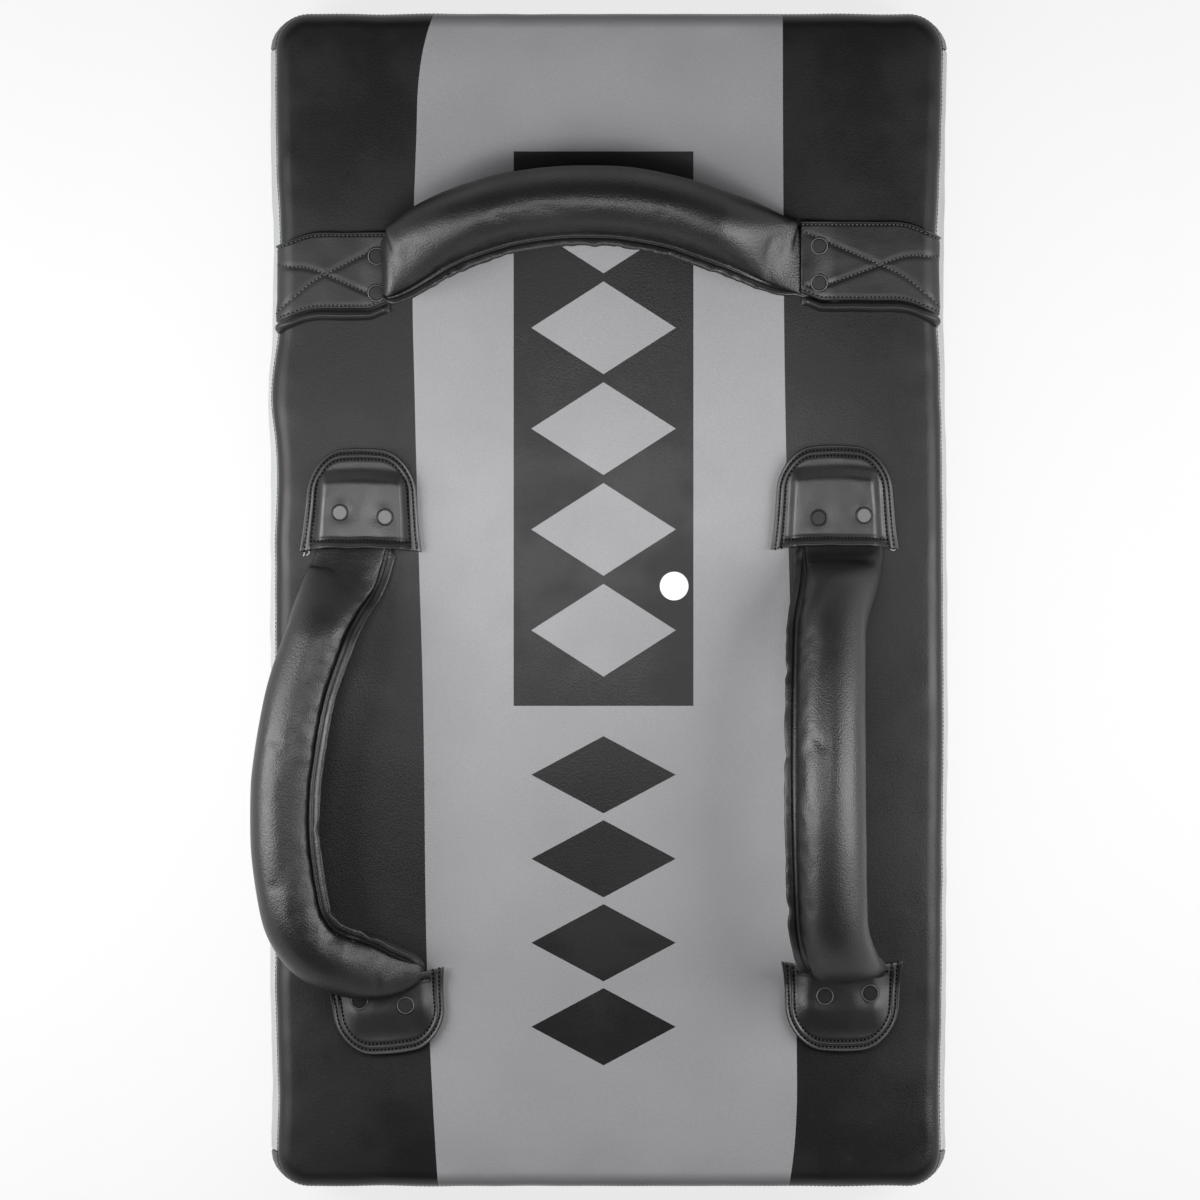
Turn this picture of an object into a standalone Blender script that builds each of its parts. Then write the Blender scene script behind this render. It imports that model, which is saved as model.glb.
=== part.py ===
"""Strike shield for kick and punch training, lying on its striking face.

The shield is a sewn leather cover over three foam layers. Three padded handles stand on its back, and each
can flop to either side about the line through its two anchor points. +Z points out of the back, +Y towards
the top edge and +X to the right of someone who looks at the back. The origin is the middle of the striking
face. All lengths are in metres.
"""

import math
from typing import NamedTuple

import bmesh
import bpy
from mathutils import Matrix, Vector, geometry

# Body of the shield, measured at the seams
BODY_LENGTH = 0.698
BODY_WIDTH = 0.396
BODY_DEPTH = 0.150
CORNER_RADIUS = 0.020
BACK_ROLL_RADIUS = 0.009
FRONT_ROLL_RADIUS = 0.012
SEAM_TURN = 0.002
BACK_CROWN = 0.004
SIDE_BULGE = 0.004
END_BULGE = 0.0015
STRAP_PULL = 0.003
STRAP_PULL_REACH = 0.060
STRAP_PULL_FROM_END = 0.153
# How sharply the sideways moves fade from the sides and from the ends towards the middle
SIDE_FADE = 6
END_FADE = 12
COVER_THICKNESS = 0.0015
IMPACT_FOAM_THICKNESS = 0.025
BACKING_FOAM_THICKNESS = 0.022

# Clearances between neighbours
GAP = 0.0003
LAYER_GAP = 0.0008

# Padded handles
TUBE_RADIUS = 0.0205
TUBE_LEATHER = 0.0014
NECK_RADIUS = 0.0120
NECK_CLEARANCE = 0.0008
LIP_HEIGHT = 0.0065
LIP_THICKNESS = 0.0028
LIP_BEGINS_AT = 0.006
LIP_FULL_AT = 0.024
LIP_ROOT = 0.0004
LIP_TIP_SHARE = 0.4
FOAM_START_HEIGHT = 0.009
HINGE_GAP = 0.0004

# How far each handle leans over at rest, from upright, and how far any handle can flop, in degrees
LEFT_LEAN = 76
RIGHT_LEAN = 7
TOP_LEAN = 70
FLOP_LIMIT = 76
# The right handle's lip has turned from the underside of the arch to its inboard flank, in degrees
RIGHT_LIP_TURN = 70

# Webbing: 40 mm wide, folded in half inside a handle
WEBBING_WIDTH = 0.040
WEBBING_THICKNESS = 0.0016

# Anchors: patches, tabs, backers and rivets
PATCH_LEATHER = 0.0015
PATCH_RIM = 0.007
PATCH_CORNER_RADIUS = 0.018
TAB_HEM = 0.001
TAB_LEATHER = 0.0012
TAB_MOUTH_WIDTH = 0.040
TAB_END_MARGIN = 0.014
RAMP_LENGTH = 0.0110
PATCH_OVERHANG = 0.001
STRAP_HEM = 0.0045
BACKER_THICKNESS = 0.0020
BACKER_MARGIN = 0.010
RIVET_SPACING = 0.0270
STRAP_RIVET_SPACING = 0.0220
RIVET_SHANK_RADIUS = 0.0018
RIVET_CAP_RADIUS = 0.0049
RIVET_CAP_HEIGHT = 0.0021
RIVET_TAIL_RADIUS = 0.0042
RIVET_TAIL_THICKNESS = 0.0010
HOLE_OVERRUN = 0.004

# Faceting
CORNER_STEPS = 4
ROLL_STEPS = 3
GUSSET_STEPS = 5
FOAM_STEP = 0.022
HANDLE_STEPS = 18
CURVE_STEPS = 12
TUBE_SIDES = 12
FOAM_SIDES = 8
TAB_POINTS = 9
STRAP_ROLL_STEPS = 4
RIVET_STEPS = 8
HOLE_SIDES = 6

# Lines across a patch as shares of its inner half width, and rows along a ramp as shares of its length
PATCH_LINES = (-1, -0.9, -0.55, 0, 0.55, 0.9, 1)
RAMP_ROWS = (0.35, 0.7)
# How square the sections of a tab and of a patch are: at the mouth, and how much more where they lie flat
TAB_SQUARENESS = (2.2, 5.0)
PATCH_SQUARENESS = (2.4, 2.6)
TAB_EDGE_SHARE = 0.4

# Lines that cut the broad faces so that they can follow a crown, as shares of the straight edges
SHARES_ACROSS = (-0.6, 0.0, 0.6)
SHARES_ALONG = (-0.8, -0.45, -0.1, 0.2)

HALF_WIDTH = BODY_WIDTH / 2
HALF_LENGTH = BODY_LENGTH / 2
UP = Vector((0, 0, 1))
DOWN = Vector((0, 0, -1))
BACK_EDGE_Z = BODY_DEPTH - BACK_CROWN - BACK_ROLL_RADIUS
FRONT_EDGE_Z = FRONT_ROLL_RADIUS
BACK_SEAM_Z = BACK_EDGE_Z - SEAM_TURN
FRONT_SEAM_Z = FRONT_EDGE_Z + SEAM_TURN
SHELL = COVER_THICKNESS + LAYER_GAP
LINES_ACROSS = [share * (HALF_WIDTH - CORNER_RADIUS) for share in SHARES_ACROSS]
LINES_ALONG = [share * (HALF_LENGTH - CORNER_RADIUS) for share in SHARES_ALONG]
# The pull of the straps needs its own lines: its middle, just past the straps' edges, and its far reach
STRAP_PULL_Y = HALF_LENGTH - STRAP_PULL_FROM_END
TAB_WIDTH = WEBBING_WIDTH + 2 * TAB_HEM
STRAP_WIDTH = WEBBING_WIDTH + 2 * STRAP_HEM
PULL_LINES = (0.55 * STRAP_WIDTH, 1.1 * STRAP_PULL_REACH)
LINES_ALONG += [
    STRAP_PULL_Y + offset
    for offset in (-PULL_LINES[1], -PULL_LINES[0], 0, PULL_LINES[0], PULL_LINES[1])
]
FOLDED_WIDTH = WEBBING_WIDTH / 2
FOLDED_THICKNESS = 2 * WEBBING_THICKNESS
TAB_HEIGHT = GAP + 2 * TAB_LEATHER + WEBBING_THICKNESS + 2 * GAP
TAB_SLOT_Z = GAP + TAB_LEATHER + GAP + WEBBING_THICKNESS / 2
HINGE_RISE = NECK_RADIUS + NECK_CLEARANCE
MOUTH_HEIGHT = HINGE_RISE + NECK_RADIUS
# A handle grows from its neck no faster than lets it lie at its limit without touching the back
NECK_GROWTH = math.cos(math.radians(FLOP_LIMIT)) - 0.03


class PatchPlace(NamedTuple):
    """How far the middle of a patch's mouth is from the nearest side edge and from the nearest end of the
    body, the patch's size, and its rivets' distance from the mouth and off the middle."""

    from_side: float
    from_end: float
    half_width: float
    length: float
    rivet_v: float
    rivet_shift: float


class StrapPlace(NamedTuple):
    """How far the middle of a strap's mouth is from the side edge and the top end, and from its rivets."""

    from_side: float
    from_end: float
    rivet_v: float


PATCH_PLACES = {
    "left_upper": PatchPlace(0.0505, 0.3190, 0.0350, 0.0580, 0.0205, 0.0005),
    "left_lower": PatchPlace(0.0650, 0.1260, 0.0335, 0.0450, 0.0170, 0.0020),
    "right_upper": PatchPlace(0.0635, 0.3175, 0.0365, 0.0580, 0.0180, 0.0040),
    "right_lower": PatchPlace(0.0590, 0.1325, 0.0355, 0.0500, 0.0185, 0.0030),
}
STRAP_PLACES = {
    "top_left": StrapPlace(0.0770, 0.1555, 0.0170),
    "top_right": StrapPlace(0.0900, 0.1495, 0.0170),
}

# Height of a handle's arch over its hinge line, and how far from an end each shape of its arch reaches
SIDE_ARCH_HEIGHT = 0.058
TOP_ARCH_HEIGHT = 0.0432
GENTLE_REACH = 0.110
STEEP_REACH = 0.060
LOW_REACH = 0.085
LOW_FAR_REACH = 0.115


def arch_end(reach, height, shares):
    """Points of an arch from one end: (distance along the hinge line, height above it)."""
    return [(reach * along, height * up) for along, up in shares]


GENTLE_SHARES = ((0, 0), (0.045, 0.007), (0.18, 0.164), (0.38, 0.414), (0.655, 0.672), (1, 0.879))
STEEP_SHARES = ((0, 0), (0.08, 0.01), (0.23, 0.12), (0.33, 0.31), (0.39, 0.552), (0.55, 0.828), (1, 1))
LOW_SHARES = ((0, 0), (0.059, 0.012), (0.188, 0.185), (0.353, 0.475), (0.647, 0.775), (1, 0.96))
GENTLE_END = arch_end(GENTLE_REACH, SIDE_ARCH_HEIGHT, GENTLE_SHARES)
STEEP_END = arch_end(STEEP_REACH, SIDE_ARCH_HEIGHT, STEEP_SHARES)
LOW_END = arch_end(LOW_REACH, TOP_ARCH_HEIGHT, LOW_SHARES)
LOW_END_FAR = LOW_END + [(LOW_FAR_REACH, TOP_ARCH_HEIGHT)]

LEATHER_BLACK = (0.035, 0.035, 0.038)
LEATHER_GREY = (0.52, 0.53, 0.54)
FOAM_GREY = (0.16, 0.16, 0.17)
FOAM_WHITE = (0.80, 0.80, 0.77)
FOAM_BLUE = (0.25, 0.33, 0.42)
NYLON_BLACK = (0.02, 0.02, 0.022)
GUNMETAL = (0.05, 0.05, 0.055)
FINISHES = {
    "black_leather": (LEATHER_BLACK, 0.45, 0.0),
    "grey_leather": (LEATHER_GREY, 0.5, 0.0),
    "dense_foam": (FOAM_GREY, 0.9, 0.0),
    "core_foam": (FOAM_WHITE, 0.95, 0.0),
    "firm_foam": (FOAM_BLUE, 0.9, 0.0),
    "webbing": (NYLON_BLACK, 0.8, 0.0),
    "rivet_metal": (GUNMETAL, 0.35, 0.9),
}


def clear_scene():
    """Removes whatever the scene holds."""
    for obj in list(bpy.data.objects):
        bpy.data.objects.remove(obj, do_unlink=True)


def new_collection(name):
    collection = bpy.data.collections.new(name)
    bpy.context.scene.collection.children.link(collection)
    return collection


def finish_material(name):
    """The Principled material of a finish, made once."""
    known = bpy.data.materials.get(name)
    if known:
        return known
    colour, roughness, metallic = FINISHES[name]
    material = bpy.data.materials.new(name)
    material.use_nodes = True
    shader = material.node_tree.nodes["Principled BSDF"]
    shader.inputs["Base Color"].default_value = (*colour, 1)
    shader.inputs["Roughness"].default_value = roughness
    shader.inputs["Metallic"].default_value = metallic
    material.diffuse_color = (*colour, 1)
    return material


class Workshop:
    """Holds the two collections and turns finished meshes into named objects."""

    def __init__(self):
        self.parts = new_collection("strike_shield")
        self.cutters = new_collection("cutters")

    def add(self, name, bm, finish, origin=(0, 0, 0), smooth_angle=35):
        """A named part from a bmesh in world places, with its origin where a joint needs it."""
        mesh = bpy.data.meshes.new(name)
        bmesh.ops.recalc_face_normals(bm, faces=bm.faces[:])
        bmesh.ops.translate(bm, verts=bm.verts[:], vec=-Vector(origin))
        bm.to_mesh(mesh)
        bm.free()
        mesh.shade_smooth()
        mesh.set_sharp_from_angle(angle=math.radians(smooth_angle))
        obj = bpy.data.objects.new(name, mesh)
        obj.location = origin
        obj.data.materials.append(finish_material(finish))
        self.parts.objects.link(obj)
        return obj

    def add_cutter(self, name, bm):
        mesh = bpy.data.meshes.new(name)
        bmesh.ops.recalc_face_normals(bm, faces=bm.faces[:])
        bm.to_mesh(mesh)
        bm.free()
        obj = bpy.data.objects.new(name, mesh)
        obj.hide_render = True
        obj.display_type = "WIRE"
        self.cutters.objects.link(obj)
        return obj


def cut(obj, cutter):
    modifier = obj.modifiers.new("cut", "BOOLEAN")
    modifier.operation = "DIFFERENCE"
    modifier.solver = "EXACT"
    modifier.object = cutter


# Shape of the body


def depth_inside(x, y, inset):
    """How far a point lies inside the body's rounded outline, drawn in by an inset."""
    radius = CORNER_RADIUS - inset
    over_x = abs(x) - (HALF_WIDTH - inset - radius)
    over_y = abs(y) - (HALF_LENGTH - inset - radius)
    outside = math.hypot(max(over_x, 0), max(over_y, 0)) + min(max(over_x, over_y), 0)
    return max(radius - outside, 0)


def roll_drop(depth, radius):
    """How far a rolled edge has dropped at some depth inside its outline."""
    if depth >= radius:
        return 0
    return radius - math.sqrt(max(radius**2 - (radius - depth) ** 2, 0))


def crown_drop(x, y):
    """How far the crowned back lies below its highest point."""
    across = 1 - min(1, (x / HALF_WIDTH) ** 2)
    along = 1 - min(1, (y / HALF_LENGTH) ** 2)
    return BACK_CROWN * (1 - across * along)


def back_height(x, y, inset=0.0):
    """Height of the back of the body, or of a layer some inset beneath it."""
    drop = roll_drop(depth_inside(x, y, inset), BACK_ROLL_RADIUS - inset)
    return BODY_DEPTH - inset - crown_drop(x, y) - drop


def front_height(x, y, inset=0.0):
    """Height of the striking face, flat where the shield lies on it."""
    return inset + roll_drop(depth_inside(x, y, inset), FRONT_ROLL_RADIUS - inset)


def settle(point):
    """Moves a point sideways with the bulging sides and with the pull of the top straps."""
    x, y, z = point
    edge_x = min(1, abs(x) / (HALF_WIDTH - SHELL)) ** SIDE_FADE
    edge_y = min(1, abs(y) / (HALF_LENGTH - SHELL)) ** END_FADE
    rise = (z - FRONT_SEAM_Z) / (BACK_SEAM_Z - FRONT_SEAM_Z)
    swell = math.sin(math.pi * rise) if 0 < rise < 1 else 0
    pull = STRAP_PULL * math.exp(-(((y - STRAP_PULL_Y) / STRAP_PULL_REACH) ** 2))
    pull *= min(1, max(0, rise))
    x += math.copysign(1, x) * edge_x * (SIDE_BULGE * swell - pull)
    y += math.copysign(1, y) * edge_y * END_BULGE * swell
    return Vector((x, y, z))


def settle_all(bm):
    for vert in bm.verts:
        vert.co = settle(vert.co)


def rounded_plate(inset, ring_depths=()):
    """A flat plate with the body's outline, with rings at some depths inside it and cut into panels."""
    bm = bmesh.new()
    bmesh.ops.create_grid(bm, x_segments=1, y_segments=1, size=1)
    half_x = HALF_WIDTH - inset
    half_y = HALF_LENGTH - inset
    bmesh.ops.scale(bm, vec=(half_x, half_y, 1), verts=bm.verts[:])
    bmesh.ops.bevel(
        bm, geom=bm.verts[:], offset=CORNER_RADIUS - inset, offset_type="OFFSET",
        affect="VERTICES", segments=CORNER_STEPS, profile=0.5, material=-1,
    )
    inner = bm.faces[:]
    last = 0
    for depth in ring_depths:
        bmesh.ops.inset_region(
            bm, faces=inner, thickness=depth - last, use_boundary=True, use_even_offset=True
        )
        inner = [max(bm.faces, key=lambda face: face.calc_area())]
        last = depth
    for x in LINES_ACROSS:
        slice_at(bm, Vector((x, 0, 0)), Vector((1, 0, 0)))
    for y in LINES_ALONG:
        slice_at(bm, Vector((0, y, 0)), Vector((0, 1, 0)))
    return bm


def turn_edge(bm, rise):
    """Carries a panel's edge a little past its roll, down or up to the seam, and settles the panel."""
    edges = [edge for edge in bm.edges if edge.is_boundary]
    made = bmesh.ops.extrude_edge_only(bm, edges=edges)
    turned = [item for item in made["geom"] if isinstance(item, bmesh.types.BMVert)]
    bmesh.ops.translate(bm, verts=turned, vec=(0, 0, rise))
    settle_all(bm)


def slice_at(bm, point, normal):
    bmesh.ops.bisect_plane(
        bm, geom=bm.verts[:] + bm.edges[:] + bm.faces[:], dist=1e-6, plane_co=point, plane_no=normal
    )


def ring_depths_of(radius):
    """Depths of the rings that follow a rolled edge."""
    return [radius * (1 - math.cos(math.pi / 2 * step / ROLL_STEPS)) for step in range(1, ROLL_STEPS + 1)]


def build_cover(shop):
    """The six leather panels of the cover."""
    bm = rounded_plate(0, ring_depths_of(BACK_ROLL_RADIUS))
    for vert in bm.verts:
        vert.co.z = back_height(vert.co.x, vert.co.y)
    turn_edge(bm, -SEAM_TURN)
    back = add_open_sheet(shop, "back_panel", bm, "black_leather", UP)

    bm = rounded_plate(0, ring_depths_of(FRONT_ROLL_RADIUS))
    for vert in bm.verts:
        vert.co.z = front_height(vert.co.x, vert.co.y)
    turn_edge(bm, SEAM_TURN)
    add_open_sheet(shop, "striking_panel", bm, "black_leather", DOWN)

    straight_x = HALF_WIDTH - CORNER_RADIUS
    straight_y = HALF_LENGTH - CORNER_RADIUS
    side_path = [-straight_y + LAYER_GAP / 2, *LINES_ALONG, straight_y - LAYER_GAP / 2]
    for name, side in (("right_gusset", 1), ("left_gusset", -1)):
        path = [(side * HALF_WIDTH, y) for y in side_path]
        build_gusset(shop, name, path, "grey_leather", Vector((side, 0, 0)))
    right_end = [(HALF_WIDTH, straight_y + LAYER_GAP / 2), *corner_arc(straight_x, straight_y)[1:]]
    left_end = [(-x, y) for x, y in reversed(right_end)]
    top_path = right_end + [(x, HALF_LENGTH) for x in reversed(LINES_ACROSS)] + left_end
    for name, end in (("top_gusset", 1), ("bottom_gusset", -1)):
        path = [(x, end * y) for x, y in top_path]
        build_gusset(shop, name, path, "black_leather", Vector((0, end, 0)))
    return back


def corner_arc(centre_x, centre_y):
    """Points along the quarter circle of the outline's upper right corner."""
    points = []
    for step in range(CORNER_STEPS + 1):
        angle = math.pi / 2 * step / CORNER_STEPS
        x = centre_x + CORNER_RADIUS * math.cos(angle)
        y = centre_y + CORNER_RADIUS * math.sin(angle)
        points.append((x, y))
    return points


def add_open_sheet(shop, name, bm, finish, facing, thickness=COVER_THICKNESS):
    """Adds an open sheet whose faces look the given way, with its leather's thickness behind them."""
    bmesh.ops.recalc_face_normals(bm, faces=bm.faces[:])
    outward = sum((face.normal * face.calc_area() for face in bm.faces), Vector())
    if outward.dot(facing) < 0:
        bmesh.ops.reverse_faces(bm, faces=bm.faces[:])
    mesh = bpy.data.meshes.new(name)
    bm.to_mesh(mesh)
    bm.free()
    mesh.shade_smooth()
    mesh.set_sharp_from_angle(angle=math.radians(50))
    obj = bpy.data.objects.new(name, mesh)
    obj.data.materials.append(finish_material(finish))
    shop.parts.objects.link(obj)
    wall = obj.modifiers.new("wall", "SOLIDIFY")
    wall.thickness = thickness
    wall.offset = -1
    wall.use_even_offset = True
    return obj


def build_gusset(shop, name, path, finish, facing):
    """A band of leather between the two seams, along part of the outline."""
    low = FRONT_SEAM_Z + GAP
    high = BACK_SEAM_Z - GAP
    bm = bmesh.new()
    rows = []
    for level in range(GUSSET_STEPS + 1):
        z = low + (high - low) * level / GUSSET_STEPS
        rows.append([bm.verts.new(settle((x, y, z))) for x, y in path])
    for below, above in zip(rows, rows[1:]):
        for i in range(len(path) - 1):
            bm.faces.new((below[i], below[i + 1], above[i + 1], above[i]))
    return add_open_sheet(shop, name, bm, finish, facing)


def build_foam(shop):
    """Three foam layers that fill the cover."""
    impact_top = SHELL + IMPACT_FOAM_THICKNESS
    backing_bottom = BODY_DEPTH - SHELL - BACK_CROWN - BACKING_FOAM_THICKNESS
    layers = (
        ("impact_foam", "dense_foam", None, impact_top),
        ("core_foam", "core_foam", impact_top + LAYER_GAP, backing_bottom - LAYER_GAP),
        ("backing_foam", "firm_foam", backing_bottom, None),
    )
    return {name: foam_layer(shop, name, finish, low, high) for name, finish, low, high in layers}


def foam_layer(shop, name, finish, low, high):
    """One layer of foam. A level of None stands for the rolled face of the body on that side."""
    radius = FRONT_ROLL_RADIUS if low is None else BACK_ROLL_RADIUS
    rolled = low is None or high is None
    bm = rounded_plate(SHELL, ring_depths_of(radius - SHELL) if rolled else ())
    bottom = bm.faces[:]
    for vert in bm.verts:
        vert.co.z = front_height(vert.co.x, vert.co.y, SHELL) if low is None else low
    lower_rim = FRONT_EDGE_Z if low is None else low
    upper_rim = BACK_EDGE_Z if high is None else high
    steps = max(1, round((upper_rim - lower_rim) / FOAM_STEP))
    top = bottom
    for step in range(1, steps + 1):
        made = bmesh.ops.extrude_face_region(bm, geom=top)
        raised = [item for item in made["geom"] if isinstance(item, bmesh.types.BMVert)]
        for vert in raised:
            vert.co.z = lower_rim + (upper_rim - lower_rim) * step / steps
        if step > 1:
            bmesh.ops.delete(bm, geom=top, context="FACES")
        top = [item for item in made["geom"] if isinstance(item, bmesh.types.BMFace)]
    if high is None:
        for vert in {vert for face in top for vert in face.verts}:
            vert.co.z = back_height(vert.co.x, vert.co.y, SHELL)
    settle_all(bm)
    flat = [face for face in bm.faces if abs(face.normal.z) > 0.99999]
    bmesh.ops.dissolve_limit(
        bm, angle_limit=math.radians(0.05), verts=[], edges=inner_edges(flat), delimit=set()
    )
    return shop.add(name, bm, finish)


def inner_edges(faces):
    """Edges between two faces of the given group."""
    group = set(faces)
    edges = {edge for face in faces for edge in face.edges}
    return [edge for edge in edges if all(face in group for face in edge.link_faces)]


# Places on the back


def on_back(x, y, lift):
    """A point above the back, where x past the flat runs round the rolled side edge."""
    flat = HALF_WIDTH - BACK_ROLL_RADIUS
    side = math.copysign(1, x)
    excess = abs(x) - flat
    if excess <= 0:
        return settle((x, y, BODY_DEPTH - crown_drop(x, y) + lift))
    turn = min(excess / BACK_ROLL_RADIUS, math.pi / 2)
    top = BODY_DEPTH - crown_drop(flat + BACK_ROLL_RADIUS * math.sin(turn), y)
    below = max(0, excess - BACK_ROLL_RADIUS * math.pi / 2)
    reach = BACK_ROLL_RADIUS + lift
    out = flat + reach * math.sin(turn)
    height = top - BACK_ROLL_RADIUS + reach * math.cos(turn) - below
    return settle((side * out, y, height))


class Anchor:
    """One anchored end of a handle: a mouth on the back that faces the handle, and its two rivets."""

    def __init__(self, name, mouth, away, length, rivets, half_width=0.0):
        self.name = name
        self.mouth = Vector(mouth)
        self.away = Vector(away).normalized()
        self.across = Vector((-self.away.y, self.away.x))
        self.length = length
        self.rivets = rivets
        self.half_width = half_width

    def place(self, u, v, w):
        """World place of a point: u across, v away from the handle, w up from the back."""
        plan = self.mouth + self.across * u + self.away * v
        return on_back(plan.x, plan.y, w)

    def hinge_point(self):
        return self.place(0, 0, HINGE_RISE)

    def rivet_places(self):
        """Plan places of the two rivets, as (u, v)."""
        half = self.rivets.spacing / 2
        return [(self.rivets.shift + side * half, self.rivets.v) for side in (-1, 1)]


class RivetPair(NamedTuple):
    """Two rivets side by side: distance from the mouth, shift off the middle, spacing, height of the caps."""

    v: float
    shift: float
    spacing: float
    cap_height: float


def ramp(v):
    """Share of the mouth's height that is left at some distance from it."""
    share = min(1, max(0, 1 - v / RAMP_LENGTH))
    return share * share * (3 - 2 * share)


def tab_section(anchor, v, half_width):
    """Outline of a flattened handle end: rounded on top, and flat underneath with two points on the back."""
    height = TAB_HEIGHT + (MOUTH_HEIGHT - TAB_HEIGHT) * ramp(v)
    power = TAB_SQUARENESS[0] + TAB_SQUARENESS[1] * (1 - ramp(v))
    half = half_width + (TAB_MOUTH_WIDTH / 2 - half_width) * ramp(v)
    points = []
    for i in range(TAB_POINTS):
        angle = math.pi * i / (TAB_POINTS - 1)
        u = half * math.copysign(abs(math.cos(angle)) ** (2 / power), math.cos(angle))
        w = GAP + (height - GAP) * math.sin(angle) ** (2 / power)
        if 0 < i < TAB_POINTS - 1:
            w = max(w, GAP + TAB_EDGE_SHARE * TAB_LEATHER)
        points.append(anchor.place(u, v, w))
    base = (-half * TAB_EDGE_SHARE, half * TAB_EDGE_SHARE)
    return points + [anchor.place(u, v, GAP) for u in base]


def slot_section(anchor, v, spare):
    """Outline of the webbing's own section, or of its slot where spare is more than nothing."""
    half = WEBBING_WIDTH / 2 + (FOLDED_WIDTH - WEBBING_WIDTH) / 2 * ramp(v) + spare
    thick = WEBBING_THICKNESS / 2 * (1 + ramp(v)) + spare
    middle = TAB_SLOT_Z + (HINGE_RISE - TAB_SLOT_Z) * ramp(v)
    return [
        anchor.place(half, v, middle - thick), anchor.place(half, v, middle + thick),
        anchor.place(-half, v, middle + thick), anchor.place(-half, v, middle - thick),
    ]


def skin(bm, rings):
    """Joins rings of points into a tube and returns its first and last rings."""
    rows = [[bm.verts.new(point) for point in ring] for ring in rings]
    for first, second in zip(rows, rows[1:]):
        for i in range(len(first)):
            j = (i + 1) % len(first)
            bm.faces.new((first[i], first[j], second[j], second[i]))
    return rows[0], rows[-1]


def loft(rings):
    """A solid through rings of points, closed at both ends."""
    bm = bmesh.new()
    first, last = skin(bm, rings)
    bm.faces.new(first)
    bm.faces.new(last)
    return bm


def hollow_loft(outer, inner):
    """A pipe through outer and inner rings, open at both ends."""
    bm = bmesh.new()
    outer_ends = skin(bm, outer)
    inner_ends = skin(bm, inner)
    for wide, narrow in zip(outer_ends, inner_ends):
        rim(bm, wide, narrow)
    return bm


def rim(bm, wide, narrow):
    """Closes the ring between two loops that run the same way round, with the shorter edge each time."""
    shift = min(range(len(narrow)), key=lambda k: (narrow[k].co - wide[0].co).length)
    narrow = narrow[shift:] + narrow[:shift]
    wide = wide + wide[:1]
    narrow = narrow + narrow[:1]
    i = j = 0
    while i < len(wide) - 1 or j < len(narrow) - 1:
        step_wide = i < len(wide) - 1
        if step_wide and j < len(narrow) - 1:
            step_wide = (wide[i + 1].co - narrow[j].co).length <= (wide[i].co - narrow[j + 1].co).length
        if step_wide:
            bm.faces.new((wide[i], wide[i + 1], narrow[j]))
            i += 1
        else:
            bm.faces.new((wide[i], narrow[j + 1], narrow[j]))
            j += 1


def patch_height(anchor, u, v):
    """Underside of a patch above the back: down on the rim, up over the tab, highest at the mouth."""
    inner_half = anchor.half_width - PATCH_RIM
    height = TAB_HEIGHT + (MOUTH_HEIGHT - TAB_HEIGHT) * ramp(v - PATCH_OVERHANG)
    power = PATCH_SQUARENESS[0] + PATCH_SQUARENESS[1] * (1 - ramp(v))
    share = min(1, abs(u) / inner_half)
    fade = min(1, max(0, (anchor.length - PATCH_RIM - v) / (TAB_END_MARGIN - PATCH_RIM)))
    return 2 * GAP + height * (1 - share**power) ** (1 / power) * math.sqrt(fade)


def build_patch(shop, anchor, holes):
    """A D shaped leather patch over the end of a handle, open at its mouth."""
    length = anchor.length
    bm = bmesh.new()
    bmesh.ops.create_grid(bm, x_segments=1, y_segments=1, size=1)
    half = anchor.half_width
    for vert in bm.verts:
        vert.co = Vector((vert.co.x * half, length * (vert.co.y + 1) / 2, 0))
    far = [vert for vert in bm.verts if vert.co.y > length / 2]
    bmesh.ops.bevel(
        bm, geom=far, offset=PATCH_CORNER_RADIUS, offset_type="OFFSET",
        affect="VERTICES", segments=CORNER_STEPS, profile=0.5, material=-1,
    )
    inner_half = half - PATCH_RIM
    for share in PATCH_LINES:
        slice_at(bm, Vector((share * inner_half, 0, 0)), Vector((1, 0, 0)))
    rows = [share * RAMP_LENGTH for share in RAMP_ROWS] + [RAMP_LENGTH + PATCH_OVERHANG / 2]
    rows += [length - TAB_END_MARGIN, length - (TAB_END_MARGIN + PATCH_RIM) / 2, length - PATCH_RIM]
    for v in rows:
        slice_at(bm, Vector((0, v, 0)), Vector((0, 1, 0)))
    for vert in bm.verts:
        u, v = vert.co.x, vert.co.y
        vert.co = anchor.place(u, v, patch_height(anchor, u, v) + PATCH_LEATHER)
    cut(add_open_sheet(shop, f"{anchor.name}_patch", bm, "black_leather", UP, PATCH_LEATHER), holes)


def build_tab(shop, anchor, name, stations, half_width, holes):
    """The flattened leather end of a handle, with the webbing's end in it."""
    outer = []
    inner = []
    for v in stations:
        outer.append(tab_section(anchor, v, half_width))
        inner.append(slot_section(anchor, v, GAP))
    cut(shop.add(name, hollow_loft(outer, inner), "black_leather"), holes)
    webbing = loft([slot_section(anchor, v, 0) for v in stations])
    cut(shop.add(f"{anchor.name}_webbing_end", webbing, "webbing"), holes)


def rivet_stack(anchor):
    """Height of the cap's underside over the back, and depth of the tail's upper face under it."""
    top = anchor.rivets.cap_height
    bottom = -(COVER_THICKNESS + LAYER_GAP + BACKER_THICKNESS + GAP)
    return top, bottom


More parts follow.
